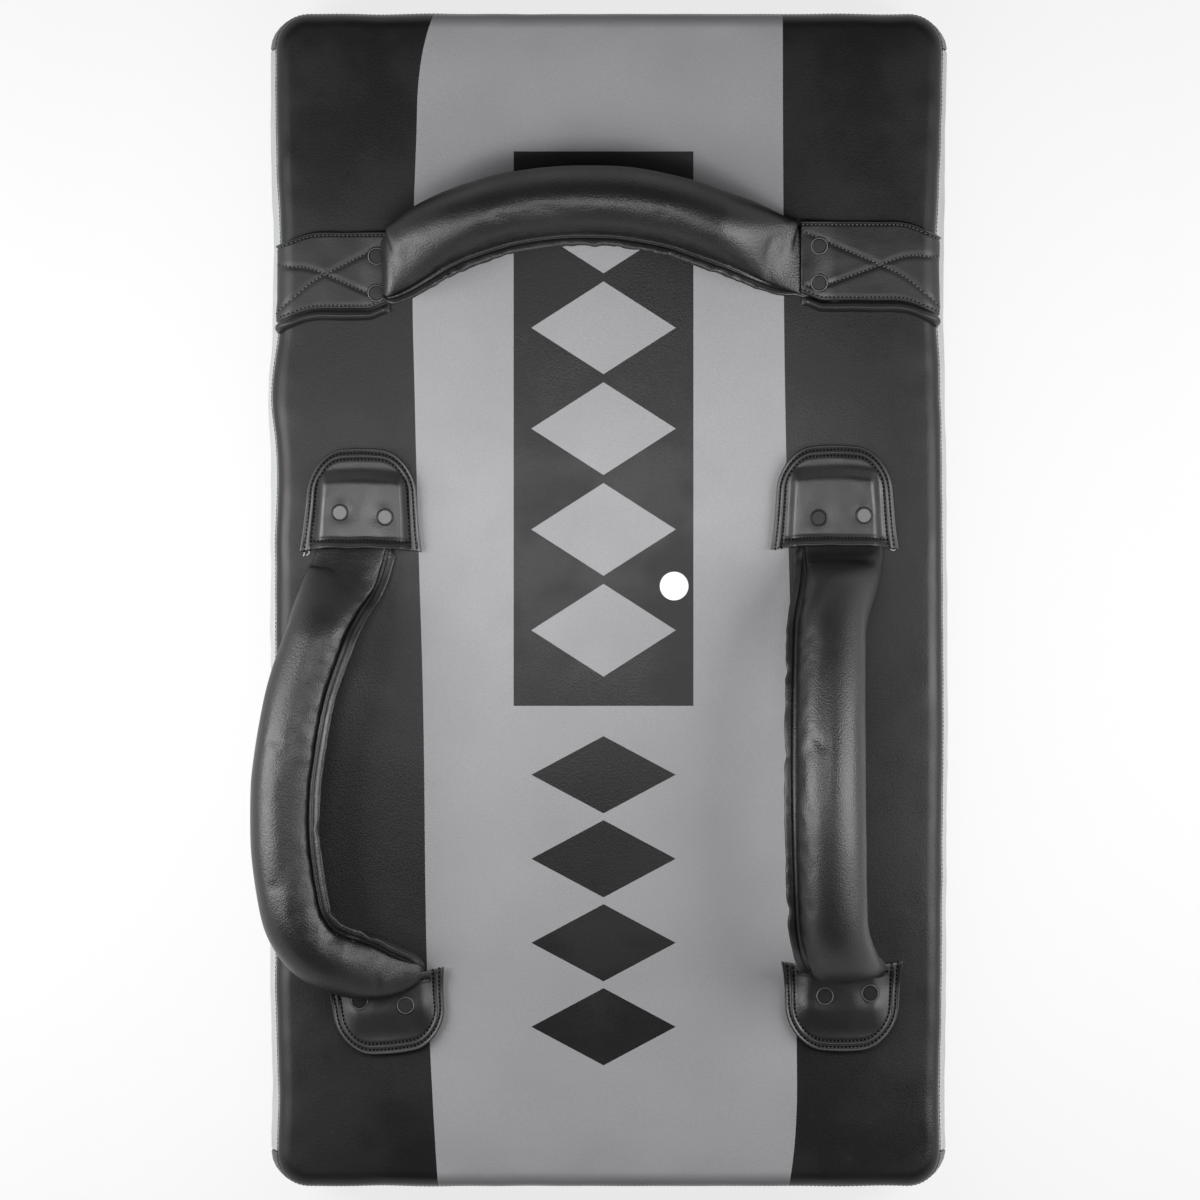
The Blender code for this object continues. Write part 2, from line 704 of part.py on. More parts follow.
def build_rivets(shop, anchor):
    """Two dome cap rivets, each a turned profile."""
    top, bottom = rivet_stack(anchor)
    profile = (
        (0, RIVET_CAP_HEIGHT), (0.55 * RIVET_CAP_RADIUS, 0.88 * RIVET_CAP_HEIGHT),
        (0.88 * RIVET_CAP_RADIUS, 0.5 * RIVET_CAP_HEIGHT), (RIVET_CAP_RADIUS, 0),
        (RIVET_SHANK_RADIUS, 0), (RIVET_SHANK_RADIUS, bottom - top), (RIVET_TAIL_RADIUS, bottom - top),
        (RIVET_TAIL_RADIUS, bottom - top - RIVET_TAIL_THICKNESS), (0, bottom - top - RIVET_TAIL_THICKNESS),
    )
    for number, (u, v) in enumerate(anchor.rivet_places(), 1):
        bm = bmesh.new()
        verts = [bm.verts.new((r, 0, z)) for r, z in profile]
        for first, second in zip(verts, verts[1:]):
            bm.edges.new((first, second))
        mesh = bpy.data.meshes.new(f"{anchor.name}_rivet_{number}")
        bm.to_mesh(mesh)
        bm.free()
        obj = bpy.data.objects.new(mesh.name, mesh)
        shop.parts.objects.link(obj)
        obj.data.materials.append(finish_material("rivet_metal"))
        screw = obj.modifiers.new("turn", "SCREW")
        screw.steps = screw.render_steps = RIVET_STEPS
        screw.use_merge_vertices = True
        screw.merge_threshold = 0.00001
        screw.use_smooth_shade = False
        obj.location = anchor.place(u, v, top)


def build_hole_cutter(shop, anchors):
    """One cutter with a pin through every rivet hole."""
    bm = bmesh.new()
    for anchor in anchors:
        top, bottom = rivet_stack(anchor)
        for u, v in anchor.rivet_places():
            upper = anchor.place(u, v, top + HOLE_OVERRUN)
            lower = anchor.place(u, v, bottom - HOLE_OVERRUN)
            radius = (RIVET_SHANK_RADIUS + GAP) / math.cos(math.pi / HOLE_SIDES)
            made = bmesh.ops.create_cone(
                bm, cap_ends=True, segments=HOLE_SIDES, radius1=radius, radius2=radius,
                depth=upper.z - lower.z,
            )
            middle = Vector((upper.x, upper.y, (upper.z + lower.z) / 2))
            bmesh.ops.translate(bm, verts=made["verts"], vec=middle)
    return shop.add_cutter("rivet_holes", bm)


def build_backer(shop, anchor, holes, pockets):
    """A reinforcing piece inside the back panel, and the room that the foam leaves for it."""
    (u1, v1), (u2, v2) = anchor.rivet_places()
    middle = anchor.place((u1 + u2) / 2, v1, 0)
    depth = COVER_THICKNESS + LAYER_GAP
    half_u = (u2 - u1) / 2 + BACKER_MARGIN
    half_v = BACKER_MARGIN
    rings = []
    for lift in (-depth, -depth - BACKER_THICKNESS):
        corners = ((-half_u, -half_v), (half_u, -half_v), (half_u, half_v), (-half_u, half_v))
        rings.append([anchor.place((u1 + u2) / 2 + u, v1 + v, lift) for u, v in corners])
    backer = shop.add(f"{anchor.name}_backer", loft(rings), "webbing")
    cut(backer, holes)
    tail = depth + BACKER_THICKNESS + GAP + RIVET_TAIL_THICKNESS + LAYER_GAP
    made = bmesh.ops.create_cube(pockets, size=1)
    turn = Matrix.Rotation(math.atan2(anchor.across.y, anchor.across.x), 4, "Z")
    size = (2 * (half_u + LAYER_GAP), 2 * (half_v + LAYER_GAP), 2 * tail)
    bmesh.ops.scale(pockets, vec=size, verts=made["verts"])
    bmesh.ops.rotate(pockets, matrix=turn, verts=made["verts"])
    bmesh.ops.translate(pockets, vec=middle, verts=made["verts"])


# Handles


def arch_points(span, near, far):
    """The arch's own points from one end of the span to the other."""
    return list(near) + [(span - along, height) for along, height in reversed(far)]


def smooth_curve(points, steps):
    """Evenly spaced points on a smooth curve through the given ones."""
    padded = [points[0], *points, points[-1]]
    fine = []
    for before, start, end, after in zip(padded, padded[1:], padded[2:], padded[3:]):
        first = Vector((*start, 0))
        last = Vector((*end, 0))
        lead = first + (last - Vector((*before, 0))) / 6
        tail = last - (Vector((*after, 0)) - first) / 6
        fine += geometry.interpolate_bezier(first, lead, tail, last, CURVE_STEPS)[:-1]
    fine.append(Vector((*points[-1], 0)))
    lengths = [0]
    for first, second in zip(fine, fine[1:]):
        lengths.append(lengths[-1] + (second - first).length)
    result = []
    for step in range(steps + 1):
        target = lengths[-1] * step / steps
        i = max(1, next(i for i, length in enumerate(lengths) if length >= target - 1e-9))
        share = (target - lengths[i - 1]) / max(lengths[i] - lengths[i - 1], 1e-9)
        result.append(fine[i - 1].lerp(fine[i], share))
    return result


class Handle:
    """A padded handle between two hinge points, at its angle of rest."""

    def __init__(self, name, start, end, lean, lean_side, near, far, lip_turn):
        self.name = name
        self.start = start
        self.end = end
        self.along = (end - start).normalized()
        self.span = (end - start).length
        upright = (UP - self.along * UP.dot(self.along)).normalized()
        sideways = self.along.cross(upright)
        if sideways.dot(Vector(lean_side)) < 0:
            sideways.negate()
        turn = math.radians(lean)
        self.rise = upright * math.cos(turn) + sideways * math.sin(turn)
        self.side = self.along.cross(self.rise)
        self.lip_turn = math.radians(lip_turn)
        self.stations = smooth_curve(arch_points(self.span, near, far), HANDLE_STEPS)
        self.stations[0].x += HINGE_GAP
        self.stations[-1].x -= HINGE_GAP

    def frame(self, i):
        """Centre of a station, its tangent, and the direction away from the hinge line in its plane."""
        point = self.stations[i]
        before = self.stations[max(i - 1, 0)]
        after = self.stations[min(i + 1, len(self.stations) - 1)]
        flat = (after - before).normalized()
        if i in (0, len(self.stations) - 1):
            flat = Vector((1, 0, 0))
        centre = self.start + self.along * point.x + self.rise * point.y
        outward = self.rise * flat.x - self.along * flat.y
        return centre, outward, point.y

    def radius(self, height):
        return min(TUBE_RADIUS, NECK_RADIUS + NECK_GROWTH * height)

    def circle(self, i, radius, angles):
        """Points round a station; angle 0 is the lip's side."""
        centre, outward, _ = self.frame(i)
        points = []
        for angle in angles:
            turn = angle + self.lip_turn
            points.append(centre + (self.side * math.sin(turn) - outward * math.cos(turn)) * radius)
        return points

    def build(self, shop):
        """The leather cover with its lip, the foam core and the folded webbing."""
        origin = (self.start + self.end) / 2
        shop.add(f"{self.name}_cover", self.cover_mesh(), "black_leather", origin)
        shop.add(f"{self.name}_foam", self.foam_mesh(), "dense_foam", origin)
        shop.add(f"{self.name}_webbing", self.webbing_mesh(), "webbing", origin)

    def cover_mesh(self):
        outer = []
        inner = []
        for i in range(len(self.stations)):
            height = self.frame(i)[2]
            radius = self.radius(height)
            edge = math.asin(LIP_THICKNESS / 2 / radius)
            free = math.tau - 2 * edge
            angles = [edge + free * k / (TUBE_SIDES - 1) for k in range(TUBE_SIDES)]
            grown = min(1, max(0, (height - LIP_BEGINS_AT) / (LIP_FULL_AT - LIP_BEGINS_AT)))
            tip_radius = radius + LIP_ROOT + LIP_HEIGHT * grown
            tip = math.asin(LIP_TIP_SHARE * LIP_THICKNESS / tip_radius)
            outer.append(self.circle(i, radius, angles) + self.circle(i, tip_radius, (-tip, tip)))
            inside = radius - TUBE_LEATHER
            inner.append(self.circle(i, inside, angles + [-edge / 3, edge / 3]))
        return hollow_loft(outer, inner)

    def webbing_section(self, i, spare):
        centre, outward, _ = self.frame(i)
        half = FOLDED_WIDTH / 2 + spare
        thick = FOLDED_THICKNESS / 2 + spare
        corners = ((half, -thick), (half, thick), (-half, thick), (-half, -thick))
        return [centre + self.side * across + outward * up for across, up in corners]

    def foam_mesh(self):
        outer = []
        inner = []
        for i in range(len(self.stations)):
            height = self.frame(i)[2]
            if height < FOAM_START_HEIGHT:
                continue
            facet = math.cos(math.pi / (TUBE_SIDES - 1))
            radius = (self.radius(height) - TUBE_LEATHER) * facet - GAP
            angles = [math.tau * (k + 0.5) / FOAM_SIDES - self.lip_turn for k in range(FOAM_SIDES)]
            outer.append(self.circle(i, radius, angles))
            inner.append(self.webbing_section(i, GAP))
        return hollow_loft(outer, inner)

    def webbing_mesh(self):
        return loft([self.webbing_section(i, 0) for i in range(len(self.stations))])


def mouth_middle(place, across, along):
    """Plan place of a mouth, on the side and at the end of the body that the two signs give."""
    return Vector((across * (HALF_WIDTH - place.from_side), along * (HALF_LENGTH - place.from_end)))


def build_side_anchors():
    """The four patch anchors, facing along their own handle."""
    cap_height = 3 * GAP + TAB_HEIGHT + PATCH_LEATHER
    anchors = {}
    for side, across in (("left", -1), ("right", 1)):
        upper = mouth_middle(PATCH_PLACES[f"{side}_upper"], across, 1)
        lower = mouth_middle(PATCH_PLACES[f"{side}_lower"], across, -1)
        for level, mouth, away in (("upper", upper, upper - lower), ("lower", lower, lower - upper)):
            name = f"{side}_{level}"
            place = PATCH_PLACES[name]
            shift = place.rivet_shift * math.copysign(1, -away.y)
            rivets = RivetPair(place.rivet_v, shift, RIVET_SPACING, cap_height)
            anchors[name] = Anchor(name, mouth, away, place.length, rivets, place.half_width)
    return anchors


def build_strap_anchors():
    """The two strap anchors of the top handle, whose straps run over the side edges into the seams."""
    anchors = {}
    for name, across in (("top_left", -1), ("top_right", 1)):
        place = STRAP_PLACES[name]
        length = place.from_side + BACK_ROLL_RADIUS * (math.pi / 2 - 1)
        rivets = RivetPair(place.rivet_v, 0, STRAP_RIVET_SPACING, TAB_HEIGHT + GAP)
        anchors[name] = Anchor(name, mouth_middle(place, across, 1), (across, 0), length, rivets)
    return anchors


def build_anchor_pieces(shop, back, backing_foam, sides, straps):
    """Everything that holds the handles to the back: backers, rivets, patches, tabs and straps."""
    anchors = [*sides.values(), *straps.values()]
    holes = build_hole_cutter(shop, anchors)
    cut(back, holes)
    pockets = bmesh.new()
    for anchor in anchors:
        build_backer(shop, anchor, holes, pockets)
        build_rivets(shop, anchor)
    cut(backing_foam, shop.add_cutter("backer_pockets", pockets))
    ramp_stations = [0, *(share * RAMP_LENGTH for share in RAMP_ROWS), RAMP_LENGTH]
    for anchor in sides.values():
        build_patch(shop, anchor, holes)
        stations = [*ramp_stations, anchor.length - TAB_END_MARGIN]
        build_tab(shop, anchor, f"{anchor.name}_tab", stations, TAB_WIDTH / 2, holes)
    for anchor in straps.values():
        flat_end = HALF_WIDTH - BACK_ROLL_RADIUS - abs(anchor.mouth.x)
        rolled = anchor.length - flat_end
        stations = [*ramp_stations, (RAMP_LENGTH + flat_end) / 2]
        stations += [flat_end + rolled * step / STRAP_ROLL_STEPS for step in range(STRAP_ROLL_STEPS + 1)]
        build_tab(shop, anchor, f"{anchor.name}_strap", stations, STRAP_WIDTH / 2, holes)


def main():
    clear_scene()
    shop = Workshop()
    back = build_cover(shop)
    foam = build_foam(shop)
    sides = build_side_anchors()
    straps = build_strap_anchors()
    build_anchor_pieces(shop, back, foam["backing_foam"], sides, straps)
    left = Handle(
        "left_handle", sides["left_upper"].hinge_point(), sides["left_lower"].hinge_point(),
        LEFT_LEAN, (-1, 0, 0), GENTLE_END, STEEP_END, 0,
    )
    right = Handle(
        "right_handle", sides["right_upper"].hinge_point(), sides["right_lower"].hinge_point(),
        RIGHT_LEAN, (-1, 0, 0), GENTLE_END, STEEP_END, RIGHT_LIP_TURN,
    )
    top = Handle(
        "top_handle", straps["top_left"].hinge_point(), straps["top_right"].hinge_point(),
        TOP_LEAN, (0, 1, 0), LOW_END, LOW_END_FAR, 0,
    )
    for handle in (left, right, top):
        handle.build(shop)


main()
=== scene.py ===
"""Strike shield: the finishes and the sewn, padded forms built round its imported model.

The shield lies on its striking face with its handles up. +Z points out of the back, +Y towards the top
edge. All lengths are in metres, in the model's own frame.
"""

import logging
import math
from dataclasses import dataclass, replace
from enum import Enum
from typing import Callable, Sequence

import bmesh
import bpy
from mathutils import Matrix, Vector, noise


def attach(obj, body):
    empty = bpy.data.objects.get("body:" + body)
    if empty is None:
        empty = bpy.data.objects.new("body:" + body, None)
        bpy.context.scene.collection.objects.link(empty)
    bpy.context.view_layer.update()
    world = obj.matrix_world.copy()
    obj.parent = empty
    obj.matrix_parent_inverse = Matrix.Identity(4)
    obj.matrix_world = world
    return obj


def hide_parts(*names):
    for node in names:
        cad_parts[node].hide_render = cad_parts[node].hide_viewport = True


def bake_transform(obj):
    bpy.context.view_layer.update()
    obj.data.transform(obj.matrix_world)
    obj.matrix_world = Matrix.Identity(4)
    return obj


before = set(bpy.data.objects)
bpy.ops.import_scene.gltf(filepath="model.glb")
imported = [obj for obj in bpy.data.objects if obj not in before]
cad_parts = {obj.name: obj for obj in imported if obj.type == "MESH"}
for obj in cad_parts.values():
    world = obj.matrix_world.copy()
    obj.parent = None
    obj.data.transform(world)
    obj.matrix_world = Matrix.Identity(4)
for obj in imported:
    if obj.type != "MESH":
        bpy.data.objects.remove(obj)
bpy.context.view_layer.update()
LOG = logging.getLogger("strike_shield")

UP = Vector((0, 0, 1))
GAP = 0.0003
MM = 0.001


def smoothstep(value: float) -> float:
    """Rises smoothly from 0 to 1 as the value goes from 0 to 1."""
    value = min(1.0, max(0.0, value))
    return value * value * (3 - 2 * value)


def bell(offset: float, width: float) -> float:
    """A rounded bump of height 1 about zero."""
    return math.exp(-((offset / width) ** 2))


def ripple(x: float, y: float, seed: float = 0.0) -> float:
    """Smooth noise from -1 to 1 whose bumps are about one unit apart."""
    return noise.noise(Vector((x, y, seed)))


def graded(stretches: Sequence[tuple[float, float, float]]) -> list[float]:
    """Coordinates along touching stretches, each with its own step.

    Args:
        stretches: start, end and rough step of each stretch, in order.

    Returns:
        The coordinates, without doubles where two stretches meet.
    """
    values = [stretches[0][0]]
    for start, end, step in stretches:
        count = max(1, round(abs(end - start) / step))
        values += [start + (end - start) * i / count for i in range(1, count + 1)]
    return values


def mirrored(half: list[float]) -> list[float]:
    """Coordinates from 0 outwards, with the same ones on the other side before them."""
    return [-value for value in reversed(half[1:])] + half


def grid_on_lines(across: Sequence[float], along: Sequence[float]) -> bmesh.types.BMesh:
    """A flat grid of quads whose lines lie at the given coordinates.

    Args:
        across: x of each line across.
        along: y of each line along.

    Returns:
        A new bmesh, flat at z = 0.
    """
    bm = bmesh.new()
    bmesh.ops.create_grid(bm, x_segments=len(across) - 1, y_segments=len(along) - 1, size=1)
    for vert in bm.verts:
        i = round((vert.co.x + 1) / 2 * (len(across) - 1))
        j = round((vert.co.y + 1) / 2 * (len(along) - 1))
        vert.co = Vector((across[i], along[j], 0))
    return bm


def finished(
    name: str,
    bm: bmesh.types.BMesh,
    material: bpy.types.Material,
    slot: str,
    wall: float = 0.0,
    sharp: float = 50.0,
) -> bpy.types.Object:
    """Turns a bmesh into a piece that sits at the origin, shaded smooth.

    Args:
        name: the piece's name.
        bm: its mesh, freed here; an open sheet faces outwards.
        material: its finish.
        slot: a material slot's name; not used.
        wall: thickness given to an open sheet behind its faces, or 0 for a closed mesh.
        sharp: angle in degrees past which an edge is shaded sharp.

    Returns:
        The new object, linked to the scene.
    """
    mesh = bpy.data.meshes.new(name)
    bm.to_mesh(mesh)
    bm.free()
    mesh.shade_smooth()
    mesh.set_sharp_from_angle(angle=math.radians(sharp))
    piece = bpy.data.objects.new(name, mesh)
    piece.data.materials.append(material)
    bpy.context.scene.collection.objects.link(piece)
    if wall:
        solid = piece.modifiers.new("leather thickness", "SOLIDIFY")
        solid.thickness = wall
        solid.offset = -1
    LOG.info("%s: %d faces", name, len(mesh.polygons))
    return piece


def face_towards(bm: bmesh.types.BMesh, direction: Vector) -> None:
    """Turns all faces of an open sheet so that they look mostly in one direction.

    Args:
        bm: the sheet.
        direction: where its faces should look.
    """
    bmesh.ops.recalc_face_normals(bm, faces=bm.faces[:])
    looking = sum((face.normal * face.calc_area() for face in bm.faces), Vector())
    if looking.dot(direction) < 0:
        bmesh.ops.reverse_faces(bm, faces=bm.faces[:])


# Shader building


Socket = bpy.types.NodeSocket
Sockets = dict[str, Socket]
Value = Socket | float | Sequence[float]


class NodeTree:
    """Adds and links shader nodes in one tree."""

    def __init__(self, tree: bpy.types.NodeTree) -> None:
        """Takes the tree that the nodes go into."""
        self.tree = tree

    def add(self, kind: str, inputs: dict | None = None, **settings) -> bpy.types.Node:
        """Adds a node.

        Args:
            kind: the node's type name, without its ShaderNode prefix.
            inputs: values or sockets for its inputs, by name or number.
            **settings: values for its own properties.

        Returns:
            The new node.
        """
        node = self.tree.nodes.new("ShaderNode" + kind)
        for key, value in settings.items():
            setattr(node, key, value)
        for key, value in (inputs or {}).items():
            self.put(node.inputs[key], value)
        return node

    def put(self, socket: Socket, value: Value) -> None:
        """Links a socket to another one, or sets its value.

        Args:
            socket: the input to fill.
            value: the socket that it is linked to, or its new value.
        """
        if isinstance(value, Socket):
            self.tree.links.new(value, socket)
        else:
            socket.default_value = value

    def math(self, operation: str, *values: Value, clamp: bool = False) -> Socket:
        """The result of a Math node on one, two or three values or sockets."""
        node = self.add("Math", dict(enumerate(values)), operation=operation, use_clamp=clamp)
        return node.outputs[0]

    def ramp(
        self, value: Value, low: float, high: float, to_low: float = 0.0, to_high: float = 1.0
    ) -> Socket:
        """Maps a value from one range to another, smoothly and clamped.

        Args:
            value: what is mapped.
            low: start of its range.
            high: end of its range.
            to_low: result at the start.
            to_high: result at the end.

        Returns:
            The mapped value.
        """
        inputs = {"Value": value, "From Min": low, "From Max": high, "To Min": to_low, "To Max": to_high}
        node = self.add("MapRange", inputs, interpolation_type="SMOOTHSTEP", clamp=True)
        return node.outputs["Result"]

    def blend(self, factor: Value, first: Value, second: Value) -> Socket:
        """Mixes two colours.

        Args:
            factor: share of the second colour.
            first: the colour at a share of 0.
            second: the colour at a share of 1.

        Returns:
            The mixed colour.
        """
        node = self.add("Mix", data_type="RGBA")
        self.put(node.inputs["Factor"], factor)
        self.put(node.inputs[6], first)
        self.put(node.inputs[7], second)
        return node.outputs[2]

    def noise(self, place: Value, size: float, detail: float = 3.0, roughness: float = 0.5) -> Socket:
        """Noise from 0 to 1 whose bumps are about the given size."""
        inputs = {"Vector": place, "Scale": 1 / size, "Detail": detail, "Roughness": roughness}
        return self.add("TexNoise", inputs).outputs["Fac"]

    def place(self) -> Socket:
        """Object coordinates, in metres."""
        return self.add("TexCoord").outputs["Object"]

    def bump(self, shader: bpy.types.Node, height: Value, depth: float) -> None:
        """Gives a shader's surface a relief of a depth in metres."""
        relief = self.add("Bump", {"Height": height, "Distance": depth})
        self.put(shader.inputs["Normal"], relief.outputs["Normal"])

    def group(self, tree: bpy.types.NodeTree, inputs: dict) -> bpy.types.Node:
        """Places a node group with its own values.

        Args:
            tree: the group.
            inputs: values or sockets for its inputs, by name.

        Returns:
            The group's node.
        """
        node = self.tree.nodes.new("ShaderNodeGroup")
        node.node_tree = tree
        for key, value in inputs.items():
            self.put(node.inputs[key], value)
        return node


def shared_effect(
    name: str,
    inputs: dict[str, str],
    outputs: Sequence[str],
    wire: Callable[[NodeTree, Sockets], Sockets],
) -> bpy.types.NodeTree:
    """Builds a shader node group once, with named inputs and outputs.

    Args:
        name: the group's name.
        inputs: each input's name and socket type, Vector or Float.
        outputs: names of the outputs, all of them floats.
        wire: makes the nodes, given the tree and the input sockets, and returns the output sockets.

    Returns:
        The node group.
    """
    known = bpy.data.node_groups.get(name)
    if known:
        return known
    tree = bpy.data.node_groups.new(name, "ShaderNodeTree")
    for key, kind in inputs.items():
        tree.interface.new_socket(key, in_out="INPUT", socket_type="NodeSocket" + kind)
    for key in outputs:
        tree.interface.new_socket(key, in_out="OUTPUT", socket_type="NodeSocketFloat")
    entry = tree.nodes.new("NodeGroupInput")
    leave = tree.nodes.new("NodeGroupOutput")
    made = wire(NodeTree(tree), {key: entry.outputs[key] for key in inputs})
    for key, socket in made.items():
        tree.links.new(socket, leave.inputs[key])
    return tree


def leather_grain() -> bpy.types.NodeTree:
    """Pebbled grain of coated leather: Height of the grain, and Shade where its creases are darker."""

    def wire(nodes: NodeTree, given: Sockets) -> Sockets:
        """Makes the nodes between the group's inputs and outputs."""
        scale = nodes.math("DIVIDE", 1.0, given["Grain Size"])
        warped = nodes.add("TexNoise", {"Vector": given["Place"], "Scale": 900.0, "Detail": 1.0})
        shift = nodes.add("VectorMath", {0: warped.outputs["Color"], "Scale": 0.0006}, operation="SCALE")
        place = nodes.add("VectorMath", {0: given["Place"], 1: shift.outputs[0]}, operation="ADD").outputs[0]
        cells = nodes.add("TexVoronoi", {"Vector": place, "Scale": scale}, feature="SMOOTH_F1")
        cells.inputs["Smoothness"].default_value = 0.35
        pebble = nodes.math("SUBTRACT", 1.0, cells.outputs["Distance"], clamp=True)
        fine = nodes.noise(given["Place"], 0.0006, 4.0)
        height = nodes.math("MULTIPLY_ADD", fine, 0.45, pebble)
        shade = nodes.ramp(pebble, 0.25, 0.6, 0.0, 1.0)
        return {"Height": height, "Shade": shade}

    inputs = {"Place": "Vector", "Grain Size": "Float"}
    return shared_effect("leather grain", inputs, ("Height", "Shade"), wire)


def handling_wear() -> bpy.types.NodeTree:
    """Marks of handling: Cloud, soft broad patches, and Scuff, small faint rubs."""

    def wire(nodes: NodeTree, given: Sockets) -> Sockets:
        """Makes the nodes between the group's inputs and outputs."""
        cloud = nodes.ramp(nodes.noise(given["Place"], 0.06, 3.0, 0.55), 0.3, 0.7)
        rubs = nodes.noise(given["Place"], 0.008, 6.0, 0.7)
        scuff = nodes.math("MULTIPLY", nodes.ramp(rubs, 0.62, 0.78), given["Amount"])
        return {"Cloud": cloud, "Scuff": scuff}

    return shared_effect("handling wear", {"Place": "Vector", "Amount": "Float"}, ("Cloud", "Scuff"), wire)


def woven_ribs() -> bpy.types.NodeTree:
    """Ribs of a woven strap: Height of the weave, and Shade between its threads."""

    def wire(nodes: NodeTree, given: Sockets) -> Sockets:
        """Makes the nodes between the group's inputs and outputs."""
        parts = nodes.add("SeparateXYZ", {"Vector": given["Place"]})
        step = nodes.math("DIVIDE", math.tau, given["Pitch"])
        first = nodes.math("SINE", nodes.math("MULTIPLY", parts.outputs["X"], step))
        second = nodes.math("SINE", nodes.math("MULTIPLY", parts.outputs["Y"], step))
        height = nodes.math("ABSOLUTE", nodes.math("MULTIPLY", first, second))
        return {"Height": height, "Shade": nodes.ramp(height, 0.0, 0.5)}

    return shared_effect("woven ribs", {"Place": "Vector", "Pitch": "Float"}, ("Height", "Shade"), wire)


def diamond_column() -> bpy.types.NodeTree:
    """A column of printed diamonds: Mask is 1 inside a diamond."""

    def wire(nodes: NodeTree, given: Sockets) -> Sockets:
        """Makes the nodes between the group's inputs and outputs."""
        turns = nodes.math("DIVIDE", nodes.math("SUBTRACT", given["Y"], given["Start"]), given["Pitch"])
        along = nodes.math("ABSOLUTE", nodes.math("SUBTRACT", nodes.math("FRACT", turns), 0.5))
        along = nodes.math("DIVIDE", nodes.math("MULTIPLY", along, given["Pitch"]), given["Half Length"])
        across = nodes.math("DIVIDE", nodes.math("ABSOLUTE", given["X"]), given["Half Width"])
        inside = nodes.math("LESS_THAN", nodes.math("ADD", along, across), 1.0)
        half_count = nodes.math("MULTIPLY", given["Count"], 0.5)
        from_middle = nodes.math("ABSOLUTE", nodes.math("SUBTRACT", turns, half_count))
        counted = nodes.math("LESS_THAN", from_middle, half_count)
        return {"Mask": nodes.math("MULTIPLY", inside, counted)}

    names = ("X", "Y", "Start", "Pitch", "Half Length", "Half Width", "Count")
    return shared_effect("diamond column", {name: "Float" for name in names}, ("Mask",), wire)


Colour = tuple[float, float, float]


def opaque(colour: Colour) -> tuple[float, float, float, float]:
    """A colour with full alpha."""
    return (*colour, 1.0)


def start_material(name: str) -> tuple[bpy.types.Material, NodeTree, bpy.types.Node]:
    """Starts a material.

    Args:
        name: the material's name.

    Returns:
        The material, its node builder and its Principled shader.
    """
    material = bpy.data.materials.new(name)
    material.use_nodes = True
    return material, NodeTree(material.node_tree), material.node_tree.nodes["Principled BSDF"]


@dataclass(frozen=True)
class LeatherFinish:
    """Coated leather of one colour, with its grain and the marks of handling."""

    name: str
    colour: Colour
    worn_colour: Colour
    roughness: float
    roughness_spread: float = 0.06
    grain_size: float = 0.0011
    grain_depth: float = 0.00005
    wear: float = 0.5
    specular: float = 0.5
    crease_share: float = 0.72

    def ink(self, nodes: NodeTree, place: Socket, base: Socket) -> Socket:
        """The colour after printing; plain leather has no print."""
        return base

    def make(self) -> bpy.types.Material:
        """Builds the material."""
        material, nodes, shader = start_material(self.name)
        place = nodes.place()
        grain = nodes.group(leather_grain(), {"Place": place, "Grain Size": self.grain_size})
        wear = nodes.group(handling_wear(), {"Place": place, "Amount": self.wear})
        creased = tuple(self.crease_share * part for part in self.colour)
        base = nodes.blend(grain.outputs["Shade"], opaque(creased), opaque(self.colour))
        base = nodes.blend(wear.outputs["Scuff"], base, opaque(self.worn_colour))
        base = self.ink(nodes, place, base)
        nodes.put(shader.inputs["Base Color"], base)
        spread = self.roughness_spread
        cloudy = nodes.ramp(
            wear.outputs["Cloud"], 0.0, 1.0, self.roughness - spread, self.roughness + spread
        )
        rubbed = nodes.math("MULTIPLY_ADD", wear.outputs["Scuff"], 0.12, cloudy)
        nodes.put(shader.inputs["Roughness"], rubbed)
        shader.inputs["Specular IOR Level"].default_value = self.specular
        nodes.bump(shader, grain.outputs["Height"], self.grain_depth)
        return material


class Tone(Enum):
    """Inks and leathers of the printed back, as linear colours."""

    BLACK = (0.0075, 0.0071, 0.0078)
    GREY = (0.270, 0.268, 0.280)
    WHITE = (0.86, 0.86, 0.85)


